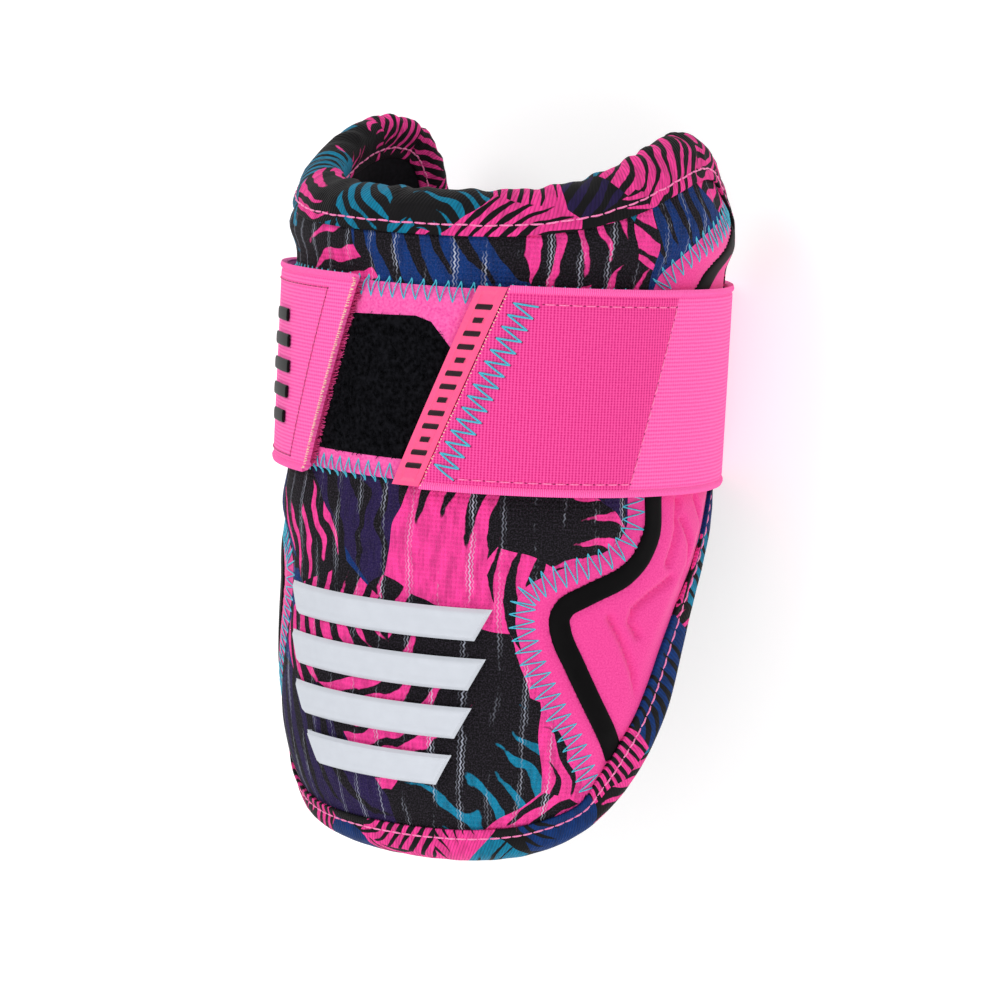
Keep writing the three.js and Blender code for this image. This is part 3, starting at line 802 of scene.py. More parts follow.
def strap_place(across, along):
    run, height = strap_flat(across, along)
    return strap_point(run, height, strap_lift(run) + STRAP_THICKNESS + strap_relief(run, height))


strap = grid_piece("elastic_strap", STRAP_COLUMNS, STRAP_ROWS, strap_place, strap_flat)
thicken(strap, STRAP_THICKNESS)
round_edges(strap, 0.5, sharper_than=60)
shade(strap)

# %% The loop patch, its black pile and the hook tape
PATCH_HEIGHT = STRAP_WIDTH - 2 * PATCH_INSET
PATCH_SLOPE = 3.0  # how far in from its edges the patch reaches its thickness


def patch_flat(across, along):
    return (across * 2 - 1) * PATCH_REACH, STRAP_BOTTOM + PATCH_INSET + along * PATCH_HEIGHT


def patch_place(across, along):
    edge = np.minimum(np.minimum(along, 1 - along) * PATCH_HEIGHT, PATCH_SLOPE) / PATCH_SLOPE
    return wrap(*patch_flat(across, along), CLEARANCE + PATCH_THICKNESS * (0.5 + 0.5 * edge))


loop_patch = grid_piece("fleece_patch", 90, 40, patch_place, patch_flat)
thicken(loop_patch, PATCH_THICKNESS * 0.5)
shade(loop_patch)

PILE = np.array([
    (-34.0, 102.1), (10.0, 102.1), (20.0, 127.4), (12.4, 136.1), (8.3, 137.3), (-10.4, 136.5),
    (-34.0, 135.5),
])
PILE_THICKNESS = 0.3
PILE_EDGE = 1.2
PILE_CELL = 0.8


def pile_lift(flat):
    rim = distance_to(np.concatenate([PILE, PILE[:1]]), flat)
    grain = 0.12 * np.sin(flat[:, 0] * 3.1) * np.sin(flat[:, 1] * 2.7 + 0.6 * np.sin(flat[:, 0]))
    return CLEARANCE + PATCH_THICKNESS + (PILE_THICKNESS + grain) * smoothstep(rim, 0, PILE_EDGE)


black_pile = cut_out("black_pile", PILE, PILE_CELL, pile_lift)
thicken(black_pile, PILE_THICKNESS)
shade(black_pile)


def hook_flat(across, along):
    share = lerp(PATCH_INSET, STRAP_WIDTH - PATCH_INSET, along) / STRAP_WIDTH
    around = slanted(TAB_END, share) + lerp(-HOOK_LENGTH, -CLEARANCE, across)
    return around, STRAP_BOTTOM + share * STRAP_WIDTH


def hook_place(across, along):
    return wrap(*hook_flat(across, along), LIFT_OVER_PATCH + HOOK_THICKNESS)


hook_tape = grid_piece("hook_strip", 30, 30, hook_place, hook_flat)
thicken(hook_tape, HOOK_THICKNESS)
shade(hook_tape)

# %% [markdown]
# ## Moulded rubber: label, ribs and badge
# The label closes the strap's slanted end. The white ribs on the front take knocks, and the badge
# on the tab is a plain set of bars. Each is a grid that is wrapped, thickened and bevelled.

# %% The label
LABEL_INSET = 0.6
LABEL_RIM = 1.3


def label_flat(across, along):
    share = lerp(LABEL_INSET, STRAP_WIDTH - LABEL_INSET, along) / STRAP_WIDTH
    around = slanted(LABEL_END, share) + lerp(-LABEL_WIDTH, 0, across) - CLEARANCE
    return around, STRAP_BOTTOM + share * STRAP_WIDTH


def label_place(across, along):
    from_edge = np.minimum(np.minimum(across, 1 - across) * LABEL_WIDTH,
                           np.minimum(along, 1 - along) * STRAP_WIDTH)
    sunk = 0.35 * smoothstep(from_edge, LABEL_RIM, LABEL_RIM + 0.5)
    return wrap(*label_flat(across, along), LIFT_OVER_PATCH + STRAP_THICKNESS + 0.3 - sunk)


strap_label = grid_piece("rubber_label", 36, 120, label_place, label_flat)
thicken(strap_label, STRAP_THICKNESS)
round_edges(strap_label, 0.4, sharper_than=60)
shade(strap_label)

# %% Short dark ribs across the label
LABEL_RIBS = 13
LABEL_RIB_PITCH = 3.3
LABEL_RIB_HEIGHT = 1.3


def label_rib(index):
    middle = STRAP_MIDDLE + (index - (LABEL_RIBS - 1) / 2) * LABEL_RIB_PITCH
    reach = (0.30, 0.30, 0.16)[index % 3]

    def flat(across, along):
        height = middle + (along - 0.5) * LABEL_RIB_HEIGHT
        share = (height - STRAP_BOTTOM) / STRAP_WIDTH
        centre = slanted(LABEL_END, share) - CLEARANCE - LABEL_WIDTH / 2
        return centre + (across * 2 - 1) * reach * LABEL_WIDTH, height

    def place(across, along):
        crown = 0.12 * (1 - (2 * along - 1) ** 4)
        return wrap(*flat(across, along), LIFT_OVER_PATCH + STRAP_THICKNESS + 0.1 + crown)

    piece = grid_piece(f"label_rib_{index}", 10, 6, place, flat)
    thicken(piece, 0.5)
    return piece


label_ribs = [label_rib(index) for index in range(LABEL_RIBS)]
select_only(label_ribs[0])
for piece in label_ribs:
    piece.select_set(True)
bpy.ops.object.join()
label_ribs = bpy.context.active_object
label_ribs.name = "label_ribs"
shade(label_ribs)

# %% The raised ribs on the front
def rib_piece(index):
    middle = RIBS_MIDDLE + ((RIB_COUNT - 1) / 2 - index) * RIB_PITCH
    reach = RIB_REACH * math.cos(index / RIB_COUNT)

    def flat(across, along):
        half = reach - (1 - along) * RIB_HEIGHT / 2
        return (across * 2 - 1) * half, middle + (along - 0.5) * RIB_HEIGHT

    def place(across, along):
        around, height = flat(across, along)
        from_edge = np.minimum(np.minimum(across, 1 - across) * 2 * reach,
                               np.minimum(along, 1 - along) * RIB_HEIGHT)
        slope = smoothstep(from_edge, 0, 1.1)
        dish = 0.25 * smoothstep(from_edge, 1.6, 2.6)
        return wrap(around, height, CLEARANCE + RIB_THICKNESS * (0.45 + 0.55 * slope) - dish)

    piece = grid_piece(f"white_rib_{index + 1}", 110, 20, place, flat)
    thicken(piece, RIB_THICKNESS * 0.45 + 0.3)
    round_edges(piece, 0.2)
    shade(piece, 30)
    return piece


front_ribs = [rib_piece(index) for index in range(RIB_COUNT)]

# %% The bars of the badge
def bar_piece(index):
    from_middle = index - (BAR_COUNT - 1) / 2
    middle = STRAP_MIDDLE + from_middle * BAR_PITCH
    centre = LOOP + slanted(TAB_END, 0.5) - BADGE_SETBACK
    reach = BAR_REACH * math.cos(from_middle * 2 / BAR_COUNT)

    def flat(across, along):
        return centre + (across * 2 - 1) * reach, middle + (along - 0.5) * BAR_HEIGHT

    def place(across, along):
        run, height = flat(across, along)
        crown = 0.25 * (1 - (2 * along - 1) ** 4)
        lift = strap_lift(run) + STRAP_THICKNESS + CLEARANCE * 0.4 + BAR_THICKNESS + crown
        return strap_point(run, height, lift)

    piece = grid_piece(f"black_bar_{index + 1}", 26, 10, place, flat)
    thicken(piece, BAR_THICKNESS + 0.1)
    round_edges(piece, 0.3, segments=3)
    shade(piece)
    return piece


badge_bars = [bar_piece(index) for index in range(BAR_COUNT)]

# %% [markdown]
# ## Thread
# Each seam is its own piece, a row of short tubes with few faces. A running stitch rises out of
# the cloth and dips back in, and a zigzag swings from one side of its line to the other.

# %% Helpers for thread
def resample(line, step):
    """Points with equal steps along a line, and the line's direction at each."""
    line = np.asarray(line, float)
    count = max(int(round(travelled(line)[-1] / step)), 2)
    return along_line(line, np.linspace(0, 1, count + 1))


def thread_piece(name, paths, radius, sides=6):
    """Closed tubes round rows of upright points."""
    centres = np.asarray(paths, float)
    run = np.gradient(centres, axis=1)
    run = run / np.linalg.norm(run, axis=2, keepdims=True)
    out = centres * (1, 1, 0)
    side = np.cross(run, out)
    side = side / np.linalg.norm(side, axis=2, keepdims=True)
    rise = np.cross(side, run)
    turn = np.linspace(0, 2 * math.pi, sides, endpoint=False)[:, None]
    spokes = np.cos(turn) * side[:, :, None] + np.sin(turn) * rise[:, :, None]
    rings = centres[:, :, None] + radius * spokes
    tubes, steps = centres.shape[:2]
    faces = []
    for tube in range(tubes):
        first = tube * steps * sides
        for step in range(steps - 1):
            for i in range(sides):
                here = first + step * sides
                after = (i + 1) % sides
                faces.append((here + i, here + after, here + sides + after, here + sides + i))
        faces.append(tuple(first + i for i in reversed(range(sides))))
        faces.append(tuple(first + (steps - 1) * sides + i for i in range(sides)))
    mesh = bpy.data.meshes.new(name)
    mesh.from_pydata(lay_down(rings.reshape(-1, 3)).tolist(), [], faces)
    piece = new_piece(name, mesh)
    shade(piece, 60)
    return piece


def running_stitches(line, pitch, place, gap=0.16, dip=0.18, crest=0.3):
    """Rows of points, one row a stitch, from a line on the flat."""
    points, _ = resample(line, pitch)
    share = np.linspace(gap / 2, 1 - gap / 2, 6)
    arch = crest * np.sin(np.pi * np.linspace(0, 1, 6)) - dip
    rows = []
    for start, end in zip(points[:-1], points[1:]):
        flat = start + (end - start) * share[:, None]
        rows.append(place(flat, arch))
    return rows


def zigzag_stitches(line, pitch, width, offset, place, crest=0.35, dip=0.1):
    """Rows of points, one row a leg, that swing across a line on the flat."""
    points, run = resample(line, pitch / 2)
    across = np.stack([run[:, 1], -run[:, 0]], -1)
    swing = np.where(np.arange(len(points)) % 2 == 0, 0.5, -0.5) * width + offset
    corners = points + across * swing[:, None]
    share = np.linspace(0, 1, 7)
    arch = crest * np.sin(np.pi * share) - dip
    return [place(a + (b - a) * share[:, None], arch) for a, b in zip(corners[:-1], corners[1:])]


# %% Faces that carry thread
def on_wall(flat, lift):
    mirrored = flat * np.where(flat[:, :1] < 0, (-1, 1), (1, 1))
    behind = mirrored[:, 0] > seam_around(mirrored[:, 1])
    surface = np.where(behind, side_lift(mirrored), front_lift(flat))
    return wrap(flat[:, 0], flat[:, 1], surface + lift)


def on_patch(flat, lift):
    top = STRAP_TOP - PATCH_INSET
    bottom = STRAP_BOTTOM + PATCH_INSET
    inside = smoothstep(np.minimum(top - flat[:, 1], flat[:, 1] - bottom), -0.9, 0.6)
    surface = lerp(front_lift(flat), CLEARANCE + PATCH_THICKNESS, inside)
    return wrap(flat[:, 0], flat[:, 1], surface + lift)


def on_strap(flat, lift):
    along, height = flat.T
    surface = strap_lift(along) + STRAP_THICKNESS + strap_relief(along, height)
    return strap_point(along, height, surface + lift)


# %% The zigzags round the side pads and along the loop patch
FINE_THREAD = 0.17  # radii of the threads, in millimetres
LABEL_THREAD = 0.25
BINDING_THREAD = 0.24
# The next radius is for the dark tubes of painted shade at each needle hole
HOLE_SHADE_RADIUS = 0.15
FIBRE = 0.13
PILE_FIBRE = 0.09
SEAM_PITCH, SEAM_SWING, SEAM_OFFSET = 3.1, 6.4, 1.5
PATCH_PITCH, PATCH_SWING = 3.2, 5.2

seam_zigzags = []
for side in (1, -1):
    line = seam_line[::-1] * (side, 1)
    seam_zigzags += zigzag_stitches(line, SEAM_PITCH, SEAM_SWING, SEAM_OFFSET * side, on_wall)
seam_thread = thread_piece("seam_zigzag", seam_zigzags, FINE_THREAD)
patch_zigzags = []
for height, offset in ((STRAP_TOP - PATCH_INSET, 1.1), (STRAP_BOTTOM + PATCH_INSET, -1.3)):
    line = np.array([(-PATCH_REACH, height), (PATCH_REACH, height)])
    patch_zigzags += zigzag_stitches(line, PATCH_PITCH, PATCH_SWING, offset, on_patch)
patch_thread = thread_piece("patch_zigzag", patch_zigzags, FINE_THREAD)

# %% Threads on the strap, and short dark tubes at their ends: painted shade where the needle went through
# Short dark tubes across the ends of a stitch line: painted shade in each needle hole, not thread
def needle_hole_shade(line, pitch, place):
    points, run = resample(line, pitch)
    share = np.linspace(-0.25, 0.25, 3)[:, None]
    return [place(point + step * share, np.zeros(3)) for point, step in zip(points, run)]


SLANT_LINE = np.array([(17.8, 99.4), (35.3, 142.4)])
SLANT_STITCHES = 15
SLANT_PITCH = np.linalg.norm(SLANT_LINE[1] - SLANT_LINE[0]) / SLANT_STITCHES
SLANT_WIDTH = 5.6
slant_zigzag = zigzag_stitches(SLANT_LINE, SLANT_PITCH, SLANT_WIDTH, 0.0, on_strap, crest=0.5)
label_thread = thread_piece("label_zigzag", slant_zigzag, LABEL_THREAD)
low_line = STRAP_BOTTOM + LOW_STITCH
high_line = STRAP_TOP - HIGH_STITCH
low_share = LOW_STITCH / STRAP_WIDTH
high_share = 1 - HIGH_STITCH / STRAP_WIDTH
seam_low = (slanted(DOUBLED_END, low_share), low_line)
seam_high = (slanted(DOUBLED_END, high_share), high_line)
STITCH_STARTS = (21.0, 39.0)
strap_lines = [
    [(STITCH_STARTS[0], low_line), seam_low],
    [seam_low, seam_high],
    [seam_high, (STITCH_STARTS[1], high_line)],
]
STRAP_PITCH = 3.2
strap_stitches = [row for line in strap_lines
                  for row in running_stitches(line, STRAP_PITCH, on_strap, gap=0.2, crest=0.42)]
strap_thread = thread_piece("strap_stitches", strap_stitches, FINE_THREAD)
hole_shades = [row for line in strap_lines for row in needle_hole_shade(line, STRAP_PITCH, on_strap)]
slant_run = (SLANT_LINE[1] - SLANT_LINE[0]) / (SLANT_PITCH * SLANT_STITCHES)
slant_across = np.array([slant_run[1], -slant_run[0]])
for side, held_in in ((1, 0.0), (-1, SLANT_PITCH / 2)):
    line = SLANT_LINE + slant_across * side * (SLANT_WIDTH / 2 + 0.2)
    hole_shades += needle_hole_shade(line + slant_run * [[held_in], [-held_in]], SLANT_PITCH, on_strap)
TAB_STITCH = 8.0
TAB_START = LOOP - 70
tab_low = (LOOP + slanted(TAB_END, low_share) - TAB_STITCH, low_line)
tab_high = (LOOP + slanted(TAB_END, high_share) - TAB_STITCH, high_line)
tab_lines = [
    [(TAB_START, low_line), tab_low],
    [tab_low, tab_high],
    [tab_high, (TAB_START, high_line)],
]
TAB_PITCH = 2.4
tab_stitches = [row for line in tab_lines for row in running_stitches(line, TAB_PITCH, on_strap)]
tab_thread = thread_piece("tab_stitches", tab_stitches, FINE_THREAD)
hole_shades += [row for line in tab_lines for row in needle_hole_shade(line, TAB_PITCH, on_strap)]
# All the dark tubes as one piece: painted shade where the needle went through
hole_shade_marks = thread_piece("needle_hole_shade", hole_shades, HOLE_SHADE_RADIUS, sides=5)

# %% The cut ends of the strap: short pale ends of its warp, and a fringe of hooks under the tab
chance = np.random.default_rng(7)


def cut_ends(name, end, heading, count, reach):
    """A row of pale fibres at a slanted end; heading is 1 where the strap ends, -1 where it starts."""
    rows = []
    for share in np.linspace(0.02, 0.98, count):
        length, lean = chance.uniform(0.5, 1.0) * reach, chance.uniform(-0.3, 0.3)
        steps = np.linspace(0, 1, 4)
        along = end(share) + heading * (steps * length - 0.35)
        flat = np.stack([along, STRAP_BOTTOM + share * STRAP_WIDTH + lean * steps], -1)
        rows.append(on_strap(flat, np.array([-0.05, 0.06, -0.05, -0.3])))
    return thread_piece(name, rows, FIBRE, sides=5)


tab_ends = cut_ends("tab_cut_ends", lambda share: LOOP + slanted(TAB_END, share), 1, 95, 0.8)
label_ends = cut_ends("label_cut_ends", lambda share: slanted(LABEL_END, share), -1, 60, 0.5)
curls = []
for share in np.linspace(0.05, 0.95, 170):
    reach, lean, drop = chance.uniform(0.7, 1.7), chance.uniform(-0.7, 0.7), chance.uniform(0, 0.8)
    turn = np.linspace(0, math.pi, 5)
    across = slanted(TAB_END, share) - 0.3 + reach * np.sin(turn)
    height = STRAP_BOTTOM + share * STRAP_WIDTH + lean * turn / math.pi
    lift = LIFT_OVER_PATCH + HOOK_THICKNESS * (0.5 - 0.4 * np.cos(turn)) - drop * 0.4
    curls.append(wrap(across, height, lift))
hook_curls = thread_piece("hook_curls", curls, FIBRE, sides=4)

# %% The running stitches through the binding
def on_binding(rows, lift):
    flat, ruffle = binding_at(rows, STITCH_DEPTH)
    return wrap(flat[:, 0], flat[:, 1], lift(dict(LEG)[STITCH_DEPTH] + ruffle))


def binding_stitches(pitch):
    rows = even_rows(pitch)[0]
    after = np.append(rows[1:], OUTLINE_ROWS)
    share = np.linspace(0.08, 0.92, 6)
    arch = 0.34 * np.sin(np.pi * np.linspace(0, 1, 6)) - 0.16
    outer, inner = [], []
    for start, end in zip(rows, after):
        places = start + (end - start) * share
        outer.append(on_binding(places, lambda proud: proud + arch))
        inner.append(on_binding(places, lambda proud: -WALL_THICKNESS - proud - arch))
    return outer + inner


BINDING_PITCH = 3.4
binding_thread = thread_piece("binding_stitches", binding_stitches(BINDING_PITCH), BINDING_THREAD)

# %% The pile's loops
PILE_LOOPS = 3200


def pile_tufts():
    chance = np.random.default_rng(11)
    low, high = PILE.min(0), PILE.max(0)
    rows = []
    while len(rows) < PILE_LOOPS:
        foot = chance.uniform(low, high)
        if not lies_inside(foot, PILE):
            continue
        heading = chance.uniform(0, 2 * math.pi)
        reach, rise = chance.uniform(0.4, 1.1), chance.uniform(0.25, 0.6)
        turn = np.linspace(0, math.pi, 5)
        run = reach * (1 - np.cos(turn)) / 2
        flat = foot + np.stack([np.cos(heading) * run, np.sin(heading) * run], -1)
        lift = CLEARANCE + PATCH_THICKNESS + 0.15 + rise * np.sin(turn)
        rows.append(wrap(flat[:, 0], flat[:, 1], lift))
    return rows


pile_loops = thread_piece("pile_loops", pile_tufts(), PILE_FIBRE, sides=3)

# %% [markdown]
# ## Finishes
# One function turns a screen colour into light, and one adds a node with its settings and links.

# %% Helpers for materials
def linear(code):
    channels = [int(code[i:i + 2], 16) / 255 for i in (1, 3, 5)]
    return (*(c / 12.92 if c <= 0.04045 else ((c + 0.055) / 1.055) ** 2.4 for c in channels), 1.0)


def add(tree, kind, inputs=None, output=0, stops=(), blend="LINEAR", **settings):
    """Adds a node; a colour ramp also takes its stops, as (place, colour), and how they blend."""
    node = tree.nodes.new("ShaderNode" + kind)
    for name, value in settings.items():
        setattr(node, name, value)
    for name, value in (inputs or {}).items():
        if isinstance(value, bpy.types.NodeSocket):
            tree.links.new(value, node.inputs[name])
        else:
            node.inputs[name].default_value = value
    if stops:
        node.color_ramp.interpolation = blend
        for place, colour in stops[2:]:
            node.color_ramp.elements.new(place)
        for element, (place, colour) in zip(node.color_ramp.elements, stops):
            element.position = place
            element.color = linear(colour)
    return node.outputs[output]


def new_material(name, **settings):
    material = bpy.data.materials.new(name)
    material.use_nodes = True
    shader = material.node_tree.nodes["Principled BSDF"]
    for socket, value in settings.items():
        shader.inputs[socket.replace("_", " ")].default_value = value
    print("material:", name)
    return material, material.node_tree, shader


PINK = "#fa3f9a"
TEAL = "#007da0"
BLUE = "#00306e"
PURPLE = "#221545"
BLACK = "#0b090c"
MATT = 0.15

# %% The printed pattern: patches of plain colour, each with a sweep of bent brush strokes
def stroke_taper(tree, turned, chance, number, cell):
    """How far a stroke has run out: it ends at its own length, and some patches have few strokes."""
    uneven = add(tree, "TexWhiteNoise", {"W": number}, noise_dimensions="1D")
    sideways = add(tree, "SeparateXYZ", {"Vector": turned}, output="Y")
    sideways = add(tree, "Math", {0: uneven, 1: cell * 0.35, 2: sideways}, operation="MULTIPLY_ADD")
    sideways = add(tree, "Math", {0: sideways}, operation="ABSOLUTE")
    taper = add(tree, "Math", {0: sideways, 1: 2.9 / cell, 2: -0.8}, operation="MULTIPLY_ADD")
    sparse = add(tree, "Math", {0: chance[0], 1: 0.95}, operation="MULTIPLY")
    return add(tree, "Math", {0: taper, 1: sparse}, operation="ADD")


def brush_patches(tree, flat, cell, pitch, shift, spread):
    """Returns three random numbers for each patch, and 1 where a stroke is.

    A patch is about cell millimetres wide, and its strokes lie pitch millimetres apart.
    """
    drift = add(tree, "TexNoise", {"Vector": flat, "Scale": 0.045, "Detail": 2.0}, output="Color")
    drift = add(tree, "VectorMath", {0: drift, 1: (0.5, 0.5, 0.5)}, operation="SUBTRACT")
    drift = add(tree, "VectorMath", {0: drift, "Scale": spread}, operation="SCALE")
    moved = add(tree, "VectorMath", {0: flat, 1: drift}, operation="ADD")
    moved = add(tree, "VectorMath", {0: moved, 1: (shift, shift * 0.7, 0)}, operation="ADD")
    patch = add(tree, "TexVoronoi", {"Vector": moved, "Scale": 1 / cell, "Randomness": 0.95},
                output="Color", voronoi_dimensions="2D")
    centre = patch.node.outputs["Position"]
    chance = add(tree, "SeparateColor", {"Color": patch}).node.outputs
    local = add(tree, "VectorMath", {0: moved, 1: centre}, operation="SUBTRACT")
    angle = add(tree, "Math", {0: chance[0], 1: 2 * math.pi}, operation="MULTIPLY")
    turned = add(tree, "VectorRotate", {"Vector": local, "Angle": angle}, rotation_type="Z_AXIS")
    turned = add(tree, "VectorMath", {0: turned, 1: (1, 1, 0)}, operation="MULTIPLY")
    offset = add(tree, "VectorMath", {0: turned, 1: (cell * 0.9, 0, 0)}, operation="ADD")
    sweep = add(tree, "VectorMath", {0: offset}, output="Value", operation="LENGTH")
    wobble = add(tree, "TexNoise", {"Vector": flat, "Scale": 0.09, "Detail": 1.0})
    sweep = add(tree, "Math", {0: wobble, 1: pitch * 0.9, 2: sweep}, operation="MULTIPLY_ADD")
    phase = add(tree, "Math", {0: sweep, 1: 2 * math.pi / pitch}, operation="MULTIPLY")
    wave = add(tree, "Math", {0: phase}, operation="SINE")
    number = add(tree, "Math", {0: sweep, 1: 1 / pitch, 2: 0.25}, operation="MULTIPLY_ADD")
    number = add(tree, "Math", {0: number}, operation="FLOOR")
    taper = stroke_taper(tree, turned, chance, number, cell)
    ragged = add(tree, "TexNoise", {"Vector": flat, "Scale": 0.35, "Detail": 3.0})
    ragged = add(tree, "Math", {0: ragged, 1: 0.9, 2: -0.45}, operation="MULTIPLY_ADD")
    edge = add(tree, "Math", {0: wave, 1: taper}, operation="SUBTRACT")
    edge = add(tree, "Math", {0: edge, 1: ragged}, operation="ADD")
    stroke = add(tree, "MapRange", {"Value": edge, "From Min": -0.08, "From Max": 0.08})
    return chance, stroke


def printed_colour(tree, flat, cell, pitch, accent, accent_stroke):
    chance, stroke = brush_patches(tree, flat, cell, pitch, 0.0, 9.0)
    ground = add(tree, "ValToRGB", {"Fac": chance[1]}, blend="CONSTANT", stops=[
        (0.0, BLACK), (0.3, PINK), (0.42, accent), (0.53, BLACK), (0.65, TEAL),
        (0.79, BLUE), (0.93, BLACK)])
    strokes = add(tree, "ValToRGB", {"Fac": chance[1]}, blend="CONSTANT", stops=[
        (0.0, PINK), (0.3, BLACK), (0.42, accent_stroke), (0.53, TEAL), (0.65, BLACK),
        (0.79, BLACK), (0.93, PURPLE)])
    under = add(tree, "Mix", {0: stroke, 6: ground, 7: strokes}, output=2, data_type="RGBA")
    chance, stroke = brush_patches(tree, flat, cell * 0.75, pitch * 0.8, 57.0, 7.0)
    ground = add(tree, "ValToRGB", {"Fac": chance[1]}, blend="CONSTANT", stops=[
        (0.0, BLACK), (0.44, PINK), (0.62, BLUE), (0.82, TEAL)])
    strokes = add(tree, "ValToRGB", {"Fac": chance[1]}, blend="CONSTANT", stops=[
        (0.0, PINK), (0.44, BLACK), (0.62, BLACK), (0.82, BLACK)])
    over = add(tree, "Mix", {0: stroke, 6: ground, 7: strokes}, output=2, data_type="RGBA")
    shown = add(tree, "Math", {0: chance[2], 1: 0.42}, operation="LESS_THAN")
    colour = add(tree, "Mix", {0: shown, 6: under, 7: over}, output=2, data_type="RGBA")
    leaning = add(tree, "Mapping", {"Vector": flat, "Rotation": (0, 0, 0.5), "Scale": (1.0, 0.3, 1.0)})
    wash = add(tree, "TexNoise", {"Vector": leaning, "Scale": 0.5, "Detail": 4.0, "Roughness": 0.65})
    wash = add(tree, "ValToRGB", {"Fac": wash}, stops=[(0.35, "#a8a8a8"), (0.6, "#ffffff")])
    return add(tree, "Mix", {0: 0.6, 6: colour, 7: wash}, output=2, data_type="RGBA", blend_type="MULTIPLY")


# %% The printed knit, with the pale threads that zigzag up it
LANE = 7.6  # millimetres from one group of pale threads to the next


def pale_threads(tree, flat):
    """1 on the groups of three broken threads, and 0 between them."""
    place = add(tree, "SeparateXYZ", {"Vector": flat}).node.outputs
    zigzag = add(tree, "Math", {0: place[1], 1: 0.75}, operation="PINGPONG")
    x = add(tree, "Math", {0: zigzag, 1: 0.55, 2: place[0]}, operation="MULTIPLY_ADD")
    drift = add(tree, "TexNoise", {"Vector": flat, "Scale": 0.07, "Detail": 1.0})
    x = add(tree, "Math", {0: drift, 1: 3.0, 2: x}, operation="MULTIPLY_ADD")
    lane = add(tree, "Math", {0: x, 1: 1 / LANE}, operation="MULTIPLY")
    number = add(tree, "Math", {0: lane}, operation="FLOOR")
    strong = add(tree, "TexWhiteNoise", {"W": number}, noise_dimensions="1D")
    pale = add(tree, "Math", {0: lane, 1: number}, operation="SUBTRACT")
    pale = add(tree, "Math", {0: pale, 1: LANE, 2: -LANE / 2}, operation="MULTIPLY_ADD")
    pale = add(tree, "Math", {0: pale}, operation="ABSOLUTE")
    beside = add(tree, "Math", {0: pale, 1: 0.8}, operation="SUBTRACT")
    beside = add(tree, "Math", {0: beside}, operation="ABSOLUTE")
    middle_thread = add(tree, "MapRange", {"Value": pale, "From Min": 0.24, "From Max": 0.1})
    side_thread = add(tree, "MapRange", {"Value": beside, "From Min": 0.18, "From Max": 0.06})
    stretched = add(tree, "Mapping", {"Vector": flat, "Scale": (1.0, 0.3, 1.0)})
    broken = add(tree, "TexNoise", {"Vector": stretched, "Scale": 0.14, "Detail": 4.0, "Roughness": 0.7})
    middle_shows = add(tree, "MapRange", {"Value": broken, "From Min": 0.43, "From Max": 0.6})
    side_shows = add(tree, "MapRange", {"Value": broken, "From Min": 0.5, "From Max": 0.64, "To Max": 0.7})
    middle_thread = add(tree, "Math", {0: middle_thread, 1: middle_shows}, operation="MULTIPLY")
    side_thread = add(tree, "Math", {0: side_thread, 1: side_shows}, operation="MULTIPLY")
    threads = add(tree, "Math", {0: middle_thread, 1: side_thread}, operation="MAXIMUM")
    strong = add(tree, "MapRange", {"Value": strong, "To Min": 0.35, "To Max": 0.8})
    return add(tree, "Math", {0: threads, 1: strong}, operation="MULTIPLY")


def printed_knit():
    """Polyester jersey over foam, printed: a matt face whose loops catch no highlight.

    The knit's ribs are 1 mm and its rows 1.2 mm apart, about twice as coarse as real, to show.
    """
    material, tree, shader = new_material(
        "printed polyester knit", Roughness=0.85, Specular_IOR_Level=MATT)
    flat = add(tree, "UVMap", uv_map="Pattern")
    colour = printed_colour(tree, flat, 40.0, 6.6, PURPLE, BLACK)
    threads = pale_threads(tree, flat)
    colour = add(tree, "Mix", {0: threads, 6: colour, 7: linear("#cfd5e6")}, output=2, data_type="RGBA")
    speck = add(tree, "TexNoise", {"Vector": flat, "Scale": 2.4, "Detail": 2.0})
    speck = add(tree, "MapRange", {"Value": speck, "From Min": 0.45, "From Max": 0.8, "To Max": 0.09})
    colour = add(tree, "Mix", {0: speck, 6: colour, 7: linear("#a894b4")}, output=2, data_type="RGBA")
    tree.links.new(colour, shader.inputs["Base Color"])
    rib = add(tree, "TexWave", {"Vector": flat, "Scale": 0.3, "Distortion": 1.0, "Detail": 1.0},
              bands_direction="X")
    row = add(tree, "TexWave", {"Vector": flat, "Scale": 0.26, "Distortion": 0.8}, bands_direction="Y")
    loops = add(tree, "Math", {0: rib, 1: row}, operation="MULTIPLY")
    bump = add(tree, "Bump", {"Height": loops, "Strength": 0.6, "Distance": 0.0005})
    tree.links.new(bump, shader.inputs["Normal"])
    return material


def printed_twill():
    """Woven polyester tape, printed: a little smoother than the knit, with slanted ribs 0.9 mm apart."""
    material, tree, shader = new_material(
        "printed polyester twill", Roughness=0.7, Specular_IOR_Level=MATT)
    flat = add(tree, "UVMap", uv_map="Pattern")
    colour = printed_colour(tree, flat, 32.0, 3.5, BLACK, PINK)
    slant = add(tree, "Mapping", {"Vector": flat, "Rotation": (0, 0, math.radians(25))})
    weave = add(tree, "TexWave", {"Vector": slant, "Scale": 0.36, "Distortion": 0.4}, bands_direction="X")
    # The weave's valleys are darkened toward black: painted shade between the twill's ribs
    valley_shade = add(tree, "MapRange", {"Value": weave, "From Max": 0.5, "To Min": 0.35, "To Max": 0.0})
    colour = add(tree, "Mix", {0: valley_shade, 6: colour, 7: linear("#08060a")}, output=2, data_type="RGBA")
    tree.links.new(colour, shader.inputs["Base Color"])
    bump = add(tree, "Bump", {"Height": weave, "Strength": 0.5, "Distance": 0.0003})
    tree.links.new(bump, shader.inputs["Normal"])
    return material


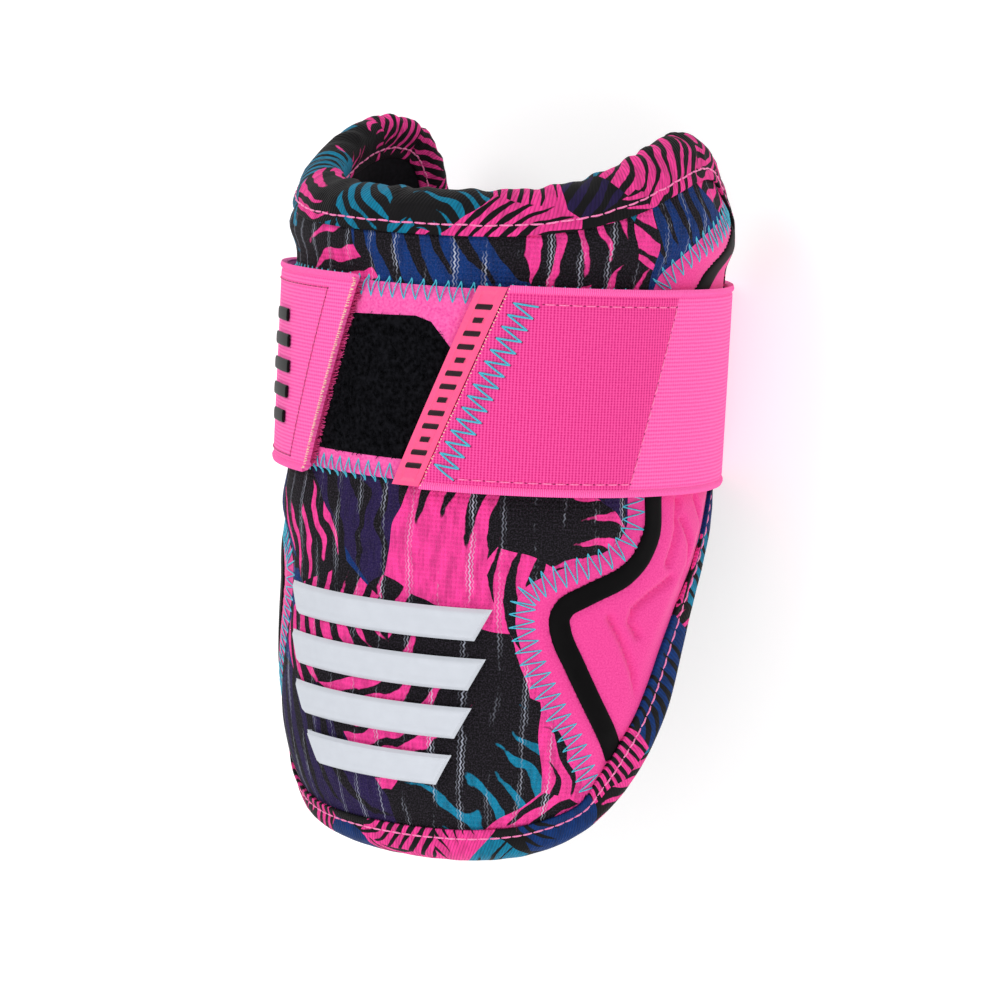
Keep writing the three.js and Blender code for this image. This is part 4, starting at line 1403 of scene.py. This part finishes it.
# %% Pink neoprene, elastic and the plainer finishes
def pink_neoprene():
    """Nylon jersey on pressed foam: a soft nap of about half a millimetre, with a faint sheen."""
    material, tree, shader = new_material(
        "brushed nylon on neoprene foam", Roughness=0.8, Specular_IOR_Level=MATT)
    flat = add(tree, "UVMap", uv_map="Pattern")
    nap = add(tree, "TexNoise", {"Vector": flat, "Scale": 2.2, "Detail": 4.0, "Roughness": 0.7})
    colour = add(tree, "ValToRGB", {"Fac": nap}, stops=[(0.3, "#de2c85"), (0.7, "#f652a2")])
    tree.links.new(colour, shader.inputs["Base Color"])
    bump = add(tree, "Bump", {"Height": nap, "Strength": 0.3, "Distance": 0.0003})
    tree.links.new(bump, shader.inputs["Normal"])
    shader.inputs["Sheen Weight"].default_value = 0.15
    return material


def elastic_zones(tree, flat):
    """1 where the webbing is single, and 1 on the corded edges."""
    place = add(tree, "SeparateXYZ", {"Vector": flat}).node.outputs
    share = add(tree, "MapRange", {"Value": place[1], "From Min": STRAP_BOTTOM, "From Max": STRAP_TOP,
                                   "To Min": DOUBLED_END[0], "To Max": DOUBLED_END[1]})
    beyond = add(tree, "Math", {0: place[0], 1: share}, operation="SUBTRACT")
    single = add(tree, "MapRange", {"Value": beyond, "From Min": -0.4, "From Max": 0.4})
    from_middle = add(tree, "Math", {0: place[1], 1: STRAP_MIDDLE}, operation="SUBTRACT")
    from_middle = add(tree, "Math", {0: from_middle}, operation="ABSOLUTE")
    corded = add(tree, "MapRange", {"Value": from_middle, "From Min": STRAP_WIDTH / 2 - SELVEDGE - 0.1,
                                    "From Max": STRAP_WIDTH / 2 - SELVEDGE + 0.1})
    return single, corded


def pink_elastic():
    """Woven elastic webbing: matt ribs across and along it, which open out where it is single.

    Its ribs are drawn 0.5 to 0.9 mm apart, which is about the pitch of such yarns.
    """
    material, tree, shader = new_material(
        "woven elastic webbing", Roughness=0.7, Specular_IOR_Level=MATT)
    flat = add(tree, "UVMap", uv_map="Pattern")
    single, corded = elastic_zones(tree, flat)
    picks = add(tree, "TexWave", {"Vector": flat, "Scale": 0.4, "Distortion": 0.5, "Detail": 1.0,
                                  "Detail Scale": 2.0}, bands_direction="X")
    ends = add(tree, "TexWave", {"Vector": flat, "Scale": 0.48, "Distortion": 0.5, "Detail": 1.0,
                                 "Detail Scale": 2.0}, bands_direction="Y")
    rows = add(tree, "TexWave", {"Vector": flat, "Scale": 0.34, "Distortion": 0.8, "Detail": 1.0,
                                 "Detail Scale": 2.0}, bands_direction="Y")
    cross = add(tree, "TexWave", {"Vector": flat, "Scale": 0.62, "Distortion": 0.2}, bands_direction="X")
    grid = add(tree, "Mix", {0: 0.38, 2: picks, 3: ends}, data_type="FLOAT")
    sparse = add(tree, "Mix", {0: 0.65, 2: picks, 3: rows}, data_type="FLOAT")
    weave = add(tree, "Mix", {0: single, 2: grid, 3: sparse}, data_type="FLOAT")
    weave = add(tree, "Mix", {0: corded, 2: weave, 3: cross}, data_type="FLOAT")
    fuzz = add(tree, "TexNoise", {"Vector": flat, "Scale": 1.4, "Detail": 3.0})
    tone = add(tree, "Math", {0: fuzz, 1: 0.5, 2: weave}, operation="MULTIPLY_ADD")
    doubled = add(tree, "ValToRGB", {"Fac": tone}, stops=[(0.3, "#cc1a74"), (1.0, "#f6509f")])
    thin = add(tree, "ValToRGB", {"Fac": tone}, stops=[(0.3, "#f2489c"), (1.0, "#ff70b8")])
    lighter = add(tree, "Math", {0: single, 1: corded}, operation="MAXIMUM")
    colour = add(tree, "Mix", {0: lighter, 6: doubled, 7: thin}, output=2, data_type="RGBA")
    tree.links.new(colour, shader.inputs["Base Color"])
    bump = add(tree, "Bump", {"Height": weave, "Strength": 0.4, "Distance": 0.0003})
    tree.links.new(bump, shader.inputs["Normal"])
    return material


def speckled(name, dark, light, scale, roughness, strength=0.3, **settings):
    """A finish of two close tones, for felt, rubber and thread.

    The grain is a thousand millimetres over its scale: 3 mm at 300, 1.1 mm at 900, 0.4 mm at 2500.
    """
    material, tree, shader = new_material(name, Roughness=roughness, **settings)
    place = add(tree, "TexCoord", output="Object")
    grain = add(tree, "TexNoise", {"Vector": place, "Scale": scale, "Detail": 3.0})
    colour = add(tree, "ValToRGB", {"Fac": grain}, stops=[(0.3, dark), (0.7, light)])
    tree.links.new(colour, shader.inputs["Base Color"])
    bump = add(tree, "Bump", {"Height": grain, "Strength": strength, "Distance": 0.0003})
    tree.links.new(bump, shader.inputs["Normal"])
    return material


knit = printed_knit()
twill = printed_twill()
neoprene = pink_neoprene()
elastic = pink_elastic()
# Knit, fleece and pile: matt, with a grain that breaks the light up
black_knit = speckled(
    "black mesh knit", "#050507", "#131318", 900, 0.9, Specular_IOR_Level=MATT)
fleece = speckled(
    "pink loop fleece", "#e4489a", "#f76db3", 1500, 0.95, 0.6, Specular_IOR_Level=MATT)
pile_finish = speckled(
    "black loop pile", "#020203", "#17171b", 900, 1.0, 0.9, Specular_IOR_Level=0.05)

# Stiff nylon hooks: glossier than cloth, with a fine, deep grain that reads as a field of hooks
hook_nylon = speckled(
    "pink hook nylon", "#b01860", "#e0408c", 2500, 0.6, 0.9)

# Moulded rubber: nearly one tone, with a soft highlight along its edges
trim_rubber = speckled(
    "satin black rubber", "#040304", "#070607", 300, 0.5, 0.05, Specular_IOR_Level=0.06)
label_rubber = speckled(
    "coral pink rubber", "#fa5288", "#fc588c", 900, 0.45, 0.1, Specular_IOR_Level=0.3)
label_ink = speckled(
    "black rubber on the label", "#1a0a10", "#2a0d18", 900, 0.5, 0.1, Specular_IOR_Level=0.25)
rib_rubber = speckled(
    "white moulded rubber", "#c4c8d0", "#c8ccd4", 300, 0.45, 0.02, Specular_IOR_Level=0.3)
badge_rubber = speckled(
    "black moulded rubber", "#040304", "#080708", 300, 0.45, 0.05, Specular_IOR_Level=0.1)

# Spun polyester thread: a half-gloss whose tone changes along each stitch
teal_thread = speckled("teal polyester thread", "#1f9cb8", "#4cc3d8", 2500, 0.5, 0.4)
pale_thread = speckled("pale pink polyester thread", "#e8559c", "#ff9cca", 2500, 0.5, 0.4)
pink_thread = speckled("pink polyester thread", "#ee5a9f", "#ff8cc2", 2500, 0.5, 0.4)
dark_thread = speckled("deep pink polyester thread", "#b01c60", "#d83a84", 2500, 0.5, 0.4)

# Cut fibre ends, and the dark tubes of painted shade at each needle hole: rougher than the threads, so that
# they don't shine
cut_fibre = speckled("cut elastic ends", "#e0a890", "#ffe6d0", 2500, 0.7, 0.4)
painted_hole_shade = speckled("painted shade in a needle hole", "#6a1038", "#8c1a50", 2500, 0.8, 0.4)

# %% Dress every piece
dress(front_pad, knit, ["front_pad"])
for pad, node in ((side_pad_right, "side_pad_right"), (side_pad_left, "side_pad_left")):
    dress(pad, neoprene, [node])
for trim, node in ((side_trim_right, "side_trim_right"), (side_trim_left, "side_trim_left")):
    dress(trim, trim_rubber, [node])
dress(lining, black_knit, ["lining"])
dress(edge_binding, twill, ["edge_binding"])
dress(strap, elastic, ["strap"])
strap_length = LOOP + slanted(TAB_END, 0.5) - slanted(LABEL_END, 0.5)
dress(loop_patch, fleece, ["loop_patch"])
dress(black_pile, pile_finish)
dress(hook_tape, hook_nylon, ["hook_tape"])
dress(strap_label, label_rubber, ["strap_label"])
for number, rib in enumerate(front_ribs, 1):
    dress(rib, rib_rubber, [f"front_rib_{number}"])
for number, bar in enumerate(badge_bars, 1):
    dress(bar, badge_rubber, [f"badge_bar_{number}"])

dress(seam_thread, teal_thread)
dress(patch_thread, teal_thread)
dress(label_thread, teal_thread)
dress(strap_thread, pink_thread)
dress(tab_thread, dark_thread)
dress(hole_shade_marks, painted_hole_shade)
dress(tab_ends, cut_fibre)
dress(label_ends, cut_fibre)
dress(label_ribs, label_ink)
dress(hook_curls, hook_nylon)
dress(binding_thread, pale_thread)
dress(pile_loops, pile_finish)

# %% [markdown]
# ## Stage
# A plain pale floor and large soft lights, as in a product studio.

# %% Floor and lights
bpy.ops.object.select_all(action="DESELECT")
bpy.ops.mesh.primitive_plane_add(size=6, location=(0, 0, -0.0002))
floor = bpy.context.active_object
floor.name = "floor"
floor_paint, _, floor_shader = new_material("matt white paint", Roughness=0.9)
floor_shader.inputs["Base Color"].default_value = linear("#dadada")
floor_shader.inputs["Emission Color"].default_value = (1, 1, 1, 1)
floor_shader.inputs["Emission Strength"].default_value = 0.45
floor.data.materials.append(floor_paint)


def soft_light(name, place, size, power):
    data = bpy.data.lights.new(name, "AREA")
    data.shape = "DISK"
    data.size = size
    data.energy = power
    lamp = bpy.data.objects.new(name, data)
    lamp.location = place
    lamp.rotation_euler = (Vector((0, 0, 0.04)) - Vector(place)).to_track_quat("-Z", "Y").to_euler()
    bpy.context.scene.collection.objects.link(lamp)


soft_light("key_light", (-0.5, 0.7, 1.2), 0.8, 7)
soft_light("fill_light", (0.9, -0.5, 0.9), 1.0, 4)
soft_light("front_light", (0.2, -1.0, 0.7), 0.8, 3)
world = bpy.data.worlds.new("studio")
world.use_nodes = True
world.node_tree.nodes["Background"].inputs["Color"].default_value = (1, 1, 1, 1)
world.node_tree.nodes["Background"].inputs["Strength"].default_value = 0.72
bpy.context.scene.world = world
bpy.context.scene.view_settings.view_transform = "Standard"
